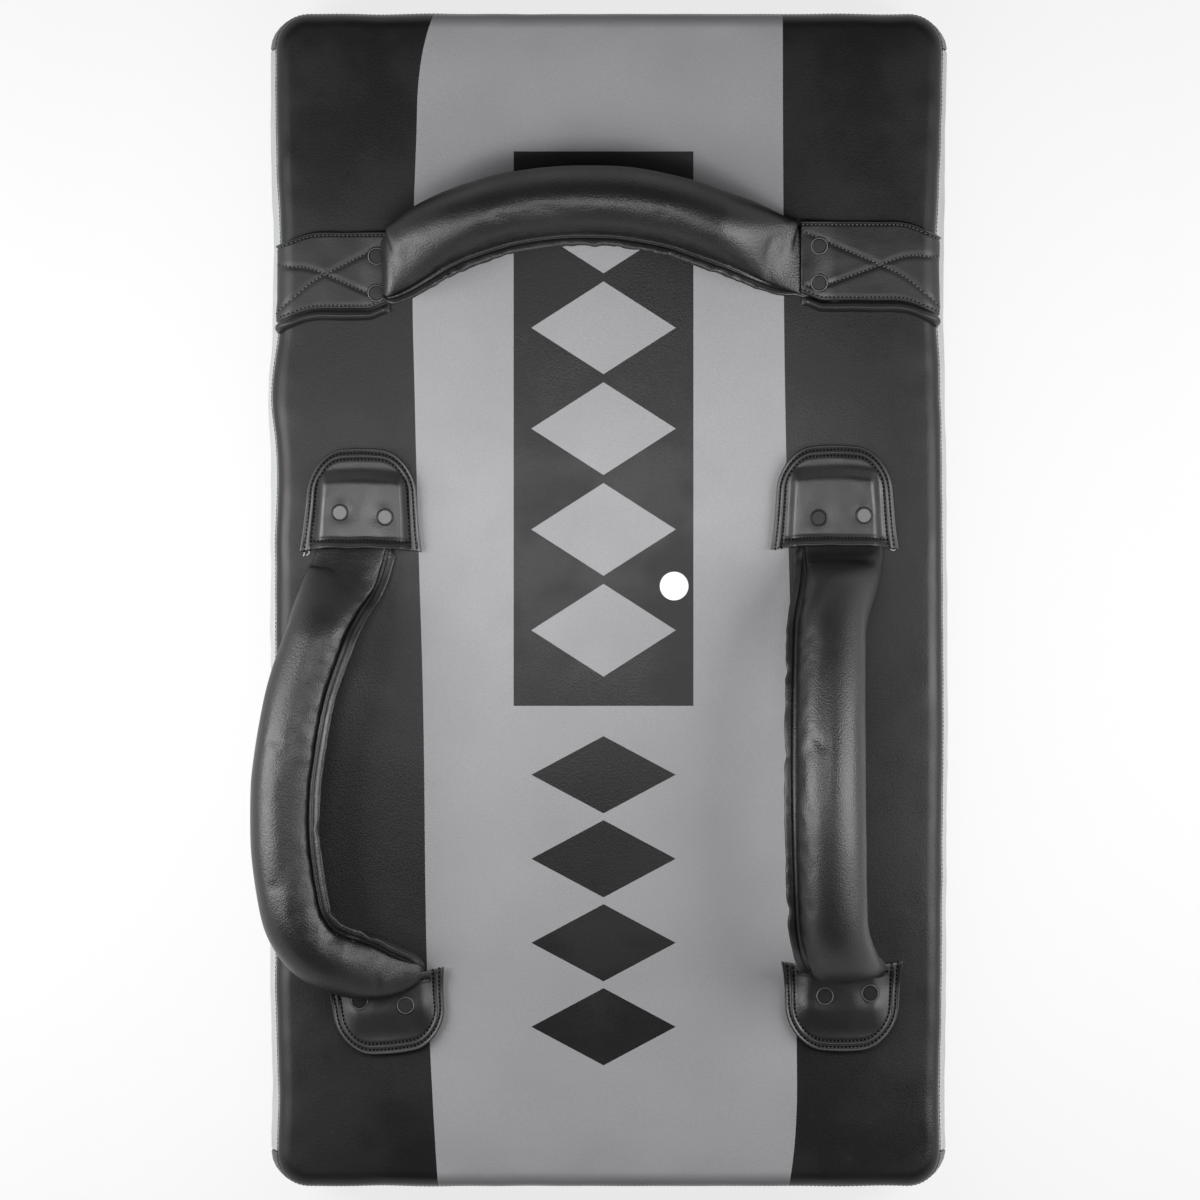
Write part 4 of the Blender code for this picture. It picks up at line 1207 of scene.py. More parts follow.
@dataclass
class Rivets:
    """Flat capped rivets of one anchor, each with its shank and its tail inside the cover."""

    palette: Palette
    cap_radius: float = 0.0052
    rim: float = 0.0010
    cap_height: float = 0.0012
    shank_radius: float = 0.0018
    tail_radius: float = 0.0042
    tail_thickness: float = 0.0010
    tail_depth: float = 0.0046
    dish: float = 0.72
    cap_floor: float = -0.0004
    turns: int = 32

    def build(
        self, name: str, mouth: Mouth, places: Sequence[tuple[float, float]], seats: Sequence[float],
        looks: Sequence[RivetLook],
    ) -> None:
        """Makes the rivets.

        Args:
            name: name of the anchor, which the rivets' names start with.
            mouth: the anchor's place on the back.
            places: u and v of each rivet.
            seats: height of the leather under each cap, above the back.
            looks: the finish of each rivet.
        """
        for number, ((u, v), seat, look) in enumerate(zip(places, seats, looks), 1):
            bm = bmesh.new()
            last = None
            for radius, height in self.profile(seat):
                vert = bm.verts.new((radius, 0, height))
                if last:
                    bm.edges.new((last, vert))
                last = vert
            bmesh.ops.spin(
                bm, geom=bm.verts[:] + bm.edges[:], cent=(0, 0, 0), axis=(0, 0, 1), dvec=(0, 0, 0),
                angle=math.tau, steps=self.turns, use_merge=True, use_duplicate=False,
            )
            bmesh.ops.remove_doubles(bm, verts=bm.verts[:], dist=0.000001)
            bmesh.ops.recalc_face_normals(bm, faces=bm.faces[:])
            # The outer faces of the rim take the second finish; on an outlined rivet that thin ring is a
            # painted highlight.
            share = 0.4 if look is RivetLook.OUTLINED else 0.0
            for face in bm.faces:
                middle = face.calc_center_median()
                outer = middle.xy.length > self.cap_radius - self.rim * (1 - share)
                face.material_index = 1 if outer and middle.z > 0 else 0
            bmesh.ops.translate(bm, verts=bm.verts[:], vec=mouth.place(u, v, seat))
            # Grey is painted light and black is painted shade on these caps and rims.
            grey, black = self.palette.lit_rivet, self.palette.shaded_rivet
            cap, rim = {
                RivetLook.RUBBED: (grey, black), RivetLook.BLACK: (black, black),
                RivetLook.OUTLINED: (self.palette.painted_rivet, grey),
            }[look]
            piece = finished(f"{name}_cap_rivet_{number}", bm, cap, "rivet_metal", sharp=35)
            piece.data.materials.append(rim)
            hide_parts(f"{name}_rivet_{number}")
            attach(piece, "shield")

    def profile(self, seat: float) -> list[tuple[float, float]]:
        """Radius and height of the turned outline, from the top of the cap to the tail."""
        inner = self.cap_radius - self.rim
        top = self.cap_height
        dish = top * self.dish
        floor = self.cap_floor
        bottom = -seat - self.tail_depth
        end = bottom - self.tail_thickness
        rolled = [
            (inner + self.rim / 2 * (1 + math.sin(angle)), top * 0.5 + top * 0.5 * math.cos(angle))
            for angle in (math.radians(value) for value in (-55, -20, 15, 50, 80))
        ]
        return [
            (0, dish), (inner * 0.6, dish), (inner * 0.93, top * 0.70), (inner * 0.98, top * 0.45), *rolled,
            (self.cap_radius, top * 0.2), (self.cap_radius * 0.97, floor), (self.shank_radius, floor),
            (self.shank_radius, bottom), (self.tail_radius, bottom), (self.tail_radius, end), (0, end),
        ]


@dataclass
class Patch:
    """A D shaped leather patch sewn over the flattened end of a side handle, with two rivets."""

    palette: Palette
    mouth: Mouth
    half_width: float
    length: float
    rivet_v: float
    rivet_shift: float
    rivet_tilt: float = 0.0
    away: tuple[float, float] = (0, 1)
    corner: float = 0.0215
    taper: float = 0.11
    crown: float = 0.0045
    leather: float = 0.0015
    rows: tuple[float, float] = (0.0023, 0.0057)
    stitch_pitch: float = 0.00235
    seat: float = 0.0006
    tab_half: float = 0.0272
    tab_height: float = 0.0056
    tab_margin: float = 0.0190
    far_slope: float = 0.0085
    side_slope: float = 0.0060
    opening_row: float = 0.0042
    opening_pitch: float = 0.0021
    mouth_height: float = 0.0060
    rivet_spacing: float = 0.0270
    ear: float = 0.0016
    ear_lift: float = 0.0
    fine_rim: float = 0.0085
    groove: float = 0.0006
    welt: float = 0.0008
    hem_fold: float = 0.0011
    press: float = 0.0011
    looks: tuple[RivetLook, RivetLook] = (RivetLook.RUBBED, RivetLook.RUBBED)
    thread_ends: tuple[tuple[float, float, float, float], ...] = ()
    seed: float = 0.0

    def rivet_places(self) -> list[tuple[float, float]]:
        """Where the two rivets sit, across the patch and away from the handle."""
        offsets = (-self.rivet_spacing / 2, self.rivet_spacing / 2)
        return [(self.rivet_shift + offset, self.rivet_v + offset * self.rivet_tilt) for offset in offsets]

    def build(self) -> None:
        """Makes the leather, its stitching and the rivets."""
        name = self.mouth.name
        self.mouth = replace(self.mouth, away=self.away)
        bm = grid_on_lines(self.lines_across(), self.lines_along())
        for vert in bm.verts:
            vert.co = self.on_patch(*self.round_off(vert.co.x, vert.co.y))
        face_towards(bm, UP)
        piece = finished(
            f"{name}_patch_leather", bm, self.palette.patch, "black_leather", wall=self.leather, sharp=70,
        )
        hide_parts(f"{name}_patch")
        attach(piece, "shield")
        places = self.rivet_places()
        seats = [self.height(u, v) + self.leather for u, v in places]
        self.sew()
        Rivets(self.palette).build(name, self.mouth, places, seats, self.looks)

    def lines_across(self) -> list[float]:
        """Lines of the mesh across the patch, closer together near its sides."""
        inner = self.half_width - self.fine_rim
        return mirrored(graded([(0, inner, 0.0015), (inner, self.half_width, 0.00055)]))

    def lines_along(self) -> list[float]:
        """Lines of the mesh from the mouth to the far end."""
        near, far = self.fine_rim, self.length - self.fine_rim
        return graded([(0, near, 0.0006), (near, far, 0.0015), (far, self.length, 0.00055)])

    def round_off(self, u: float, v: float) -> tuple[float, float]:
        """Rounds the two far corners of the square pattern."""
        a = abs(u) - (self.half_width - self.corner)
        b = v - (self.length - self.corner)
        if a <= 0 or b <= 0:
            return u, v
        size = math.hypot(a, b)
        reach = max(a, b)
        side = math.copysign(1, u)
        u = side * (self.half_width - self.corner + reach * a / size)
        return u, self.length - self.corner + reach * b / size

    def outline_shift(self, u: float, v: float) -> tuple[float, float]:
        """Tapers the patch, crowns its far end and lets the mouth's corners reach out as ears."""
        share = u / self.half_width
        along = v / self.length
        near = (1 - along) ** 3
        u *= 1 - self.taper * along
        wave = 0.0007 * ripple(u / 0.013, self.seed, 9.0) + 0.0013 * (1 - share * share)
        v += self.crown * (1 - share * share) * along - near * (self.ear * abs(share) ** 5 - wave)
        u += math.copysign(0.0012, u) * near**2 * abs(share) ** 5
        return u, v

    def depth_inside(self, u: float, v: float) -> float:
        """Distance of a point inside the patch's sewn outline, which has no edge at the mouth."""
        over_u = abs(u) - (self.half_width - self.corner)
        over_v = v - (self.length - self.corner)
        outside = math.hypot(max(over_u, 0.0), max(over_v, 0.0)) + min(max(over_u, over_v), 0.0)
        return self.corner - outside

    def height(self, u: float, v: float) -> float:
        """Shapes the patch, which is sewn down at its rim and lifted by what lies under it.

        Args:
            u: place across.
            v: place away from the handle.

        Returns:
            Height of its underside above the back.
        """
        depth = self.depth_inside(u, v)
        tab_end = self.length - self.tab_margin
        sides = smoothstep((self.tab_half + 0.0022 - abs(u)) / self.side_slope)
        far = smoothstep((tab_end + self.far_slope - v) / self.far_slope)
        raised = self.tab_height * sides * far
        open_share = smoothstep(1 - v / (self.opening_row * 1.6))
        swell = self.mouth_height * open_share * max(0.0, 1 - (u / (self.tab_half + 0.003)) ** 4) ** 0.5
        first, second = self.rows
        sewn = self.groove * (bell(depth - first, 0.0007) + bell(depth - second, 0.0008))
        welt = self.welt * bell(depth - (first + second) / 2, 0.0012)
        border = 0.0005 * smoothstep(1 - depth / first)
        hem = self.hem_fold * bell(v - self.opening_row, 0.0009)
        hem *= smoothstep((self.tab_half - abs(u)) / 0.002)
        soft = 0.00025 * ripple(u / 0.009, v / 0.009, self.seed) * smoothstep(depth / 0.004)
        corner = self.ear_lift * (abs(u) / self.half_width) ** 4 * smoothstep(1 - v / 0.014)
        pressed = sum(bell(math.hypot(u - a, v - b), 0.0068) for a, b in self.rivet_places())
        lifted = self.seat + raised + swell + welt + border + soft + corner + self.groove
        return lifted - sewn - hem - self.press * pressed

    def on_patch(self, u: float, v: float) -> Vector:
        """A point on the patch's outer surface."""
        return self.mouth.place(*self.outline_shift(u, v), self.height(u, v) + self.leather)

    def row_path(self, depth: float) -> tuple[Callable[[float], Vector], float]:
        """Path of a stitch row from ear to ear.

        Args:
            depth: how far inside the outline it stays.

        Returns:
            The place at a share of the way, as a function, and the row's length.
        """
        half = self.half_width - depth
        radius = self.corner - depth
        straight = self.length - self.corner
        across = 2 * (half - radius)
        arc = radius * math.pi / 2
        total = 2 * straight + 2 * arc + across

        def path(share: float) -> Vector:
            """Place on the row; the second half mirrors the first."""
            distance = share * total
            mirrored = distance > total / 2
            if mirrored:
                distance = total - distance
            if distance <= straight:
                u, v = half, distance
            elif distance <= straight + arc:
                angle = (distance - straight) / radius
                u, v = half - radius + radius * math.cos(angle), straight + radius * math.sin(angle)
            else:
                u, v = half - radius - (distance - straight - arc), self.length - depth
            return self.on_patch(-u if mirrored else u, v)

        return path, total

    def sew(self) -> None:
        """Two rows round the patch, one across its opening, and the painted shadow rings round the rivets."""
        seam = Seamstress(f"{self.mouth.name}_patch", thread=0.00040, hole=0.0006, hole_length=0.00080)
        for depth in self.rows:
            path, total = self.row_path(depth)
            seam.sew(path, total, self.stitch_pitch, 0.40)
        for (u, v), look in zip(self.rivet_places(), self.looks):
            # Radius of the painted shadow ring round each cap.
            reach = 0.0055 if look is RivetLook.OUTLINED else 0.0060
            seam.seat(self.mouth.place(u, v, self.height(u, v) + self.leather), reach)
        half = self.half_width - self.rows[1]
        seam.sew(
            lambda share: self.on_patch(half * (2 * share - 1), self.opening_row),
            2 * half, self.opening_pitch, 0.40,
        )
        for u, v, run, turn in self.thread_ends:
            seam.loose_end(lambda share, u=u, v=v, run=run, turn=turn: self.mouth.place(
                u + run * share * math.cos(turn + share), v + run * share * math.sin(turn + share),
                0.0012 + 0.0008 * math.sin(math.pi * share)))
        seam.finish(self.palette.black_thread, self.palette)


@dataclass
class Strap:
    """A wide leather strap that carries an end of the top handle to the seam at the side of the body."""

    palette: Palette
    mouth: Mouth
    rivet_v: float
    upper_side: int
    droop: float
    width: float = 0.0468
    roll: float = 0.0060
    thickness: float = 0.0038
    rivet_spacing: float = 0.0220
    stitch_pitch: float = 0.0025
    hem: float = 0.0018
    start: float = 0.0065
    rivet_shift: float = 0.0
    shift: float = 0.0022
    lift: float = 0.0010
    leather: float = 0.0008
    sag: float = 0.0044
    shadow_ring_radius: float = 0.0056
    seed: float = 0.0

    def build(self) -> None:
        """Makes the strap, its boxed cross of stitches and its rivets."""
        name = self.mouth.name
        half = self.width / 2
        across = graded([
            (-half - self.roll, -half, 0.0004), (-half, -half + 0.004, 0.0006),
            (-half + 0.004, half - 0.005, 0.0011), (half - 0.005, half, 0.0004),
        ])
        along = graded([(self.start, self.length(), 0.0011)])
        bm = grid_on_lines(across, along)
        for vert in bm.verts:
            vert.co = self.surface(vert.co.x, vert.co.y)
        face_towards(bm, UP)
        piece = finished(
            f"{name}_strap_leather", bm, self.palette.strap, "black_leather", wall=self.leather, sharp=70,
        )
        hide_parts(f"{name}_strap")
        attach(piece, "shield")
        spread = self.rivet_spacing / 2
        places = [(side * spread + self.rivet_shift, self.rivet_v) for side in (-1, 1)]
        seats = [self.height(self.upper_side * u, v) for u, v in places]
        self.sew([self.mouth.place(u, v, seat) for (u, v), seat in zip(places, seats)])
        Rivets(self.palette).build(name, self.mouth, places, seats, (RivetLook.OUTLINED, RivetLook.OUTLINED))

    def length(self) -> float:
        """Length from the mouth over the rolled side edge to the seam."""
        return SHAPE.width / 2 + SHAPE.back_roll * (math.pi / 2 - 1) + 0.0008 - abs(self.mouth.x)

    def lines(self) -> tuple[tuple[tuple[float, float], tuple[float, float]], ...]:
        """Ends of the two crossing stitch rows, as (w, v) places, where w points to the top edge."""
        half = self.width / 2
        near, far = self.start + 0.001, self.length() - 0.003
        return (((-half + 0.006, far), (half - 0.006, near)), ((half - 0.012, far), (-half + 0.005, near)))

    def height(self, w: float, v: float) -> float:
        """Shapes the strap, which is puffed between its stitch rows and rolled along one edge.

        Args:
            w: place across, towards the top edge.
            v: place away from the handle.

        Returns:
            Height of its surface above the back.
        """
        half = self.width / 2
        if w < -half:
            turn = math.pi * min(1.0, (-half - w) / self.roll)
            closing = 1 - smoothstep((turn / math.pi - 0.85) / 0.15)
            closing *= smoothstep((v - self.start) / 0.005)
            closing *= 1 - 0.80 * smoothstep((v - self.length() + 0.010) / 0.010)
            return 0.0005 + (0.0012 + 0.0046 * max(math.sin(turn), 0.0) ** 0.6) * closing
        body = self.thickness - 0.0012 * smoothstep((v - 0.010) / 0.02)
        edge = body * math.sqrt(max(0.0, 1 - max(0.0, 1 - (half - w) / 0.0010) ** 2))
        fold = 0.0009 * bell(half - w - 0.0009, 0.0007)
        hem = 0.0005 * bell(half - w - self.hem - 0.0004, 0.0006)
        lower = 0.0014 * bell(w + half - 0.0002, 0.0010) + 0.0004 * bell(w + half - 0.0030, 0.0008)
        creases = 0.0
        for (w1, v1), (w2, v2) in self.lines():
            run = Vector((w2 - w1, v2 - v1))
            offset = Vector((w - w1, v - v1))
            away = abs(run.cross(offset)) / run.length
            done = offset.dot(run) / run.length_squared
            within = smoothstep(done / 0.06) * smoothstep((1 - done) / 0.06)
            creases = max(creases, within * bell(away, 0.0013))
        soft = 0.00035 * ripple(w / 0.012, v / 0.014, self.seed)
        lifted = self.lift * smoothstep(1 - (v - self.start) / 0.024)
        return max(0.0009, edge + fold - hem - lower - 0.0007 * creases + soft + lifted)

    def surface(self, w: float, v: float) -> Vector:
        """A point on the strap's outer surface; w points to the top edge, v away from the handle."""
        sag = self.droop * smoothstep((v - self.length() + 0.034) / 0.034) ** 1.4 - self.shift
        sag -= self.sag * smoothstep(1 - (v - self.start) / 0.014) * smoothstep(-w / 0.010)
        near_edge = smoothstep((abs(w) - self.width / 2 + 0.003) / 0.004)
        wave = 0.0004 * ripple(v / 0.015, self.seed, 4.0) * near_edge
        return self.mouth.place(self.upper_side * (w - sag + wave), v, self.height(w, v))

    def sew(self, rivets: Sequence[Vector]) -> None:
        """Rows along the top fold and the rolled edge, the two crossing rows, and the painted shadow rings
        round the rivets.
        """
        seam = Seamstress(f"{self.mouth.name}_strap", thread=0.0004, hole=0.00045)
        # Each rivet gets a painted shadow ring.
        for place in rivets:
            seam.seat(place, self.shadow_ring_radius)
        half = self.width / 2
        span = self.length() - self.start - 0.002
        for w in (half - self.hem - 0.0004, -half + 0.0030):
            seam.sew(
                lambda share, w=w: self.surface(w, self.start + share * span), span, self.stitch_pitch, 0.6,
            )
        for (w1, v1), (w2, v2) in self.lines():
            seam.sew(
                lambda share, a=(w1, v1), b=(w2, v2): self.surface(
                    a[0] + (b[0] - a[0]) * share, a[1] + (b[1] - a[1]) * share),
                math.hypot(w2 - w1, v2 - v1), self.stitch_pitch, 0.7,
            )
        # The strap's stitches take the lighter thread, a painted highlight.
        seam.finish(self.palette.highlight_thread, self.palette)


# Handles


def tube_of(rings: Sequence[Sequence[Vector]]) -> bmesh.types.BMesh:
    """Joins rings of points into a tube of quads.

    Args:
        rings: the points of each cross-section, in order.

    Returns:
        The tube's mesh, closed at both ends.
    """
    bm = bmesh.new()
    loops = []
    for points in rings:
        verts = [bm.verts.new(point) for point in points]
        loops.append([bm.edges.new(pair) for pair in zip(verts, [*verts[1:], verts[0]])])
    for first, second in zip(loops, loops[1:]):
        bmesh.ops.bridge_loops(bm, edges=first + second)
    for loop in (loops[0], loops[-1]):
        bmesh.ops.edgeloop_fill(bm, edges=loop)
    bmesh.ops.recalc_face_normals(bm, faces=bm.faces[:])
    return bm


@dataclass(frozen=True)
class Inflation:
    """Cloth simulation of a cover with a little spare leather, pressed outwards by its padding."""

    pressure: float = 4.0
    frames: int = 20
    spare: float = 0.005
    most_out: float = 0.0010
    most_in: float = 0.0004
    most_along: float = 0.0010

    def run(self, name: str, rings: Sequence[Sequence[Vector]], pins: Sequence[float]) -> list[list[Vector]]:
        """Simulates a cover and keeps its moves within limits.

        Args:
            name: name of the cover.
            rings: the points of each cross-section.
            pins: how firmly each point is held, ring by ring, from 0, free, to 1, sewn down.

        Returns:
            The points of each cross-section after the simulation.
        """
        bm = tube_of(rings)
        mesh = bpy.data.meshes.new(name)
        bm.to_mesh(mesh)
        bm.free()
        piece = bpy.data.objects.new(name, mesh)
        scene = bpy.context.scene
        scene.collection.objects.link(piece)
        group = piece.vertex_groups.new(name="sewn")
        for index, pin in enumerate(pins):
            group.add([index], pin, "REPLACE")
        cloth = piece.modifiers.new("padding pressure", "CLOTH")
        cloth.settings.use_pressure = True
        cloth.settings.uniform_pressure_force = self.pressure
        cloth.settings.effector_weights.gravity = 0
        cloth.settings.shrink_min = -self.spare
        cloth.settings.vertex_group_mass = group.name
        cloth.point_cache.frame_start = 1
        cloth.point_cache.frame_end = self.frames
        for number in range(1, self.frames + 1):
            scene.frame_set(number)
        simulated = piece.evaluated_get(bpy.context.evaluated_depsgraph_get()).data.vertices
        moved = [
            start.co + self.limited(end.co - start.co, start.normal) * (1 - pin)
            for start, end, pin in zip(mesh.vertices, simulated, pins)
        ]
        LOG.info("%s: simulated, largest step %.1f mm", name, max(
            (place - start.co).length for place, start in zip(moved, mesh.vertices)) / MM)
        bpy.data.objects.remove(piece)
        bpy.data.meshes.remove(mesh)
        scene.frame_set(1)
        around = len(rings[0])
        return [moved[i: i + around] for i in range(0, len(moved), around)]

    def limited(self, step: Vector, normal: Vector) -> Vector:
        """Keeps a point's move within the limits out of, into and along the cover.

        Args:
            step: the move.
            normal: direction out of the cover.

        Returns:
            The limited move.
        """
        out = step.dot(normal)
        along = step - normal * out
        if along.length > self.most_along:
            along = along * (self.most_along / along.length)
        return along + normal * min(self.most_out, max(-self.most_in, out))


class Layer(Enum):
    """The layers of a padded handle, from outside in."""

    LIP = "lip"
    COVER = "cover"
    FOAM = "foam"
    WEBBING = "webbing"


@dataclass(frozen=True)
class HandleEnd:
    """How one end of a handle leaves its mouth.

    tab is the length of its flat part under the patch or strap. half_width and start_thickness are half its
    width and thickness at the mouth, rise is its height there, and swell is how far it takes to fill out.
    bend sets where the stretch found by blend_line ends, and it keeps to the line of the mouths over square.
    blunt, plump and pinch round off an end without a tab, web widens its lip, and floor lifts its underside.
    """

    mouth: Mouth
    tab: float
    half_width: float
    swell: float
    rise: float = 0.0050
    start_thickness: float = 0.0044
    lip_angle: float = 5.0
    bend: float = 0.045
    blunt: float = 0.0
    plump: float = 0.008
    floor: float = 0.0
    lip_start: float = -0.006
    pinch: float = 0.55
    square: float = 0.0
    web: float = 0.0


@dataclass
class Station:
    """One cross-section of a handle."""

    centre: Vector
    side: Vector
    outward: Vector
    half_width: float
    half_thickness: float
    distance: float
    lip_angle: float
    near: float
    seam: float = 1.0
    web: float = 0.0


@dataclass
class PaddedHandle:
    """A padded leather tube with a sewn lip, between two mouths, at its angle of rest."""

    palette: Palette
    name: str
    first: HandleEnd
    second: HandleEnd
    lean: float
    lean_side: Vector
    arch: tuple[tuple[float, float], ...]
    lip_angle: float
    lip_side: int
    shift: float = 0.0
    radius: float = 0.0203
    hinge_rise: float = 0.0128
    station_step: float = 0.0024
    around: int = 56
    lip_width: float = 0.0068
    lip_half: float = 0.0013
    tab_half: float = 0.0019
    least_padding: float = 0.007
    inset: float = 0.0016
    groove: float = 0.0022
    fold: float = 0.0011
    webbing_half: float = 0.019
    webbing_fold: float = 0.009
    webbing_clearance: float = 0.0030
    ruffle: float = 0.0004
    ruffle_pitch: float = 0.0065
    dents: tuple[float, ...] = ()
    in_plane: bool = False
    seed: float = 0.0

    def build(self) -> None:
        """Makes the layers of the handle in two halves that meet at the top of the arch."""
        stations = self.stations()
        middle = len(stations) // 2
        halves = (
            ("first", stations[: middle + 1], self.first, False),
            ("second", stations[middle:], self.second, True),
        )
        rings = [self.section(station, Layer.COVER) for station in stations]
        rings = Inflation().run(f"{self.name}_cover", rings, self.pins(stations))
        for label, part, end, flipped in halves:
            start, stop = self.blend_line(stations, flipped, end)
            cover = tube_of(rings[middle:] if flipped else rings[: middle + 1])
            self.dress(f"{self.name}_leather_{label}", cover, Layer.COVER, end, start, stop)
            self.dress(f"{self.name}_lip_{label}", self.lip(part), Layer.LIP, end, start, stop)
            foam = self.tube(Layer.FOAM, [s for s in part if s.half_thickness > self.least_padding])
            self.dress(f"{self.name}_padding_{label}", foam, Layer.FOAM, end, start, stop)
            ribbon = self.tube(Layer.WEBBING, part)
            self.dress(f"{self.name}_strap_core_{label}", ribbon, Layer.WEBBING, end, start, stop)

    def frame(self) -> tuple[Vector, Vector, float, Vector, Vector]:
        """Hinge line of the handle and the axes of its upright plane."""
        start = self.first.mouth.place(0, 0, self.hinge_rise)
        end = self.second.mouth.place(0, 0, self.hinge_rise)
        along = (end - start).normalized()
        upright = (UP - along * UP.dot(along)).normalized()
        side = along.cross(upright)
        return start, along, (end - start).length, upright, side

    def centre_line(self) -> list[tuple[float, float]]:
        """Points of the arch in its upright plane, evenly spaced, from one end to the other."""
        span = self.frame()[2]
        points = list(self.arch)
        if self.first.tab:
            points = [(-self.first.tab, 0.0), (-self.first.tab * 0.5, 0.0), (-0.003, 0.0), *points]
        if self.second.tab:
            past = max(span, points[-1][0])
            tab = self.second.tab
            points = [*points, (past + 0.003, 0.0), (past + tab * 0.5, 0.0), (past + tab, 0.0)]
        knots = [Vector((x, y, 0)) for x, y in points]
        padded = [2 * knots[0] - knots[1], *knots, 2 * knots[-1] - knots[-2]]
        fine: list[Vector] = []
        for before, a, b, after in zip(padded, padded[1:], padded[2:], padded[3:]):
            for i in range(16):
                t = i / 16
                lead = (b - before) * 0.5 * min(1.0, (b - a).length / max((a - before).length, 1e-6))
                tail = (after - a) * 0.5 * min(1.0, (b - a).length / max((after - b).length, 1e-6))
                h1, h2 = 2 * t**3 - 3 * t**2 + 1, -2 * t**3 + 3 * t**2
                h3, h4 = t**3 - 2 * t**2 + t, t**3 - t**2
                fine.append(a * h1 + b * h2 + lead * h3 + tail * h4)
        fine.append(knots[-1])
        lengths = [0.0]
        for a, b in zip(fine, fine[1:]):
            lengths.append(lengths[-1] + (b - a).length)
        count = round(lengths[-1] / self.station_step)
        result = []
        i = 1
        for step in range(count + 1):
            target = lengths[-1] * step / count
            while i < len(lengths) - 1 and lengths[i] < target:
                i += 1
            share = (target - lengths[i - 1]) / max(lengths[i] - lengths[i - 1], 1e-9)
            point = fine[i - 1].lerp(fine[i], min(1.0, share))
            result.append((point.x, point.y))
        return result

    def centres(self) -> list[tuple[Vector, float, HandleEnd]]:
        """Centre of each cross-section, its distance past the nearer mouth, and that end."""
        start, along, span, upright, side = self.frame()
        lean = math.radians(self.lean)
        sideways = side if side.dot(self.lean_side) > 0 else -side
        rise = upright * math.cos(lean) + sideways * math.sin(lean)
        line = self.centre_line()
        lengths = [0.0]
        for a, b in zip(line, line[1:]):
            lengths.append(lengths[-1] + math.dist(a, b))
        made = []
        for (x, height), distance in zip(line, lengths):
            to_first = distance - self.first.tab
            to_second = lengths[-1] - distance - self.second.tab
            near, end = (to_first, self.first) if to_first <= to_second else (to_second, self.second)
            sunk = (self.hinge_rise - end.rise) * (1 - smoothstep(height / 0.030))
            sunk += 0.0012 * smoothstep(-near / 0.008)
            shifted = self.shift * (1 - smoothstep((near - 0.010) / 0.05))
            shifted *= smoothstep((near + 0.012) / 0.014)
            made.append((start + along * x + rise * height + side * shifted - UP * sunk, near, end))
        return made

    def stations(self) -> list[Station]:
        """Every cross-section, lying flat at the mouths and round along the arch."""
        rows = self.centres()
        _, along, _, _, plane_side = self.frame()
        made = []
        distance = 0.0
        for i, (centre, near, end) in enumerate(rows):
            before, after = rows[max(i - 1, 0)][0], rows[min(i + 1, len(rows) - 1)][0]
            tangent = (after - before).normalized()
            if end.square:
                tangent = along.lerp(tangent, smoothstep(near / end.square)).normalized()
            outward = (UP - tangent * UP.dot(tangent)).normalized()
            if self.in_plane:
                outward = (plane_side - tangent * plane_side.dot(tangent)).cross(tangent).normalized()
            distance += (centre - rows[max(i - 1, 0)][0]).length
            swollen = smoothstep(near / end.swell) ** 0.8
            thick = end.start_thickness + (self.radius - end.start_thickness) * swollen
            wide = end.half_width + (self.radius - end.half_width) * smoothstep(near / 0.045)
            if near < 0:
                thick = self.tab_half + (end.start_thickness - self.tab_half) * smoothstep(1 + near / 0.006)
                wide = end.half_width - 0.0015 * smoothstep(-near / 0.01)
            if end.blunt:
                rounding = max(0.12, math.sqrt(1 - (1 - min(1.0, max(0.0, near / end.blunt))) ** 2))
                thick *= max(0.12, math.sqrt(1 - (1 - min(1.0, max(0.0, near / end.plump))) ** 2))
                wide *= end.pinch + (1 - end.pinch) * rounding
            if abs(centre.x) < SHAPE.width / 2:
                level = SHAPE.depth - SHAPE.crown_drop(centre.x, centre.y) + end.floor
                thick = min(thick, max(0.0017, centre.z - level - 0.0006))
            settled = smoothstep(near / 0.06)
            lip = math.radians(90 + end.lip_angle + (self.lip_angle - end.lip_angle) * settled)
            made.append(Station(
                centre, tangent.cross(outward), outward, wide, thick, distance, lip, near,
                smoothstep((near - end.lip_start) / 0.012), end.web * bell(near - 0.012, 0.011),
            ))
        return made

    def blend_line(self, stations: list[Station], flipped: bool, end: HandleEnd) -> tuple[Vector, Vector]:
        """Finds the ends of the stretch between an end's tab and the arch.

        Args:
            stations: every cross-section.
            flipped: whether it is the second end.
            end: that end.

        Returns:
            Where it stops following the back, and where it starts following the arch.
        """
        total = stations[-1].distance
        order = list(reversed(stations)) if flipped else stations

        def at(distance: float) -> Vector:
            """Centre of the cross-section at a distance from this end."""
            target = total - distance if flipped else distance
            return min(order, key=lambda station: abs(station.distance - target)).centre

        return at(end.tab), at(end.tab + end.bend)

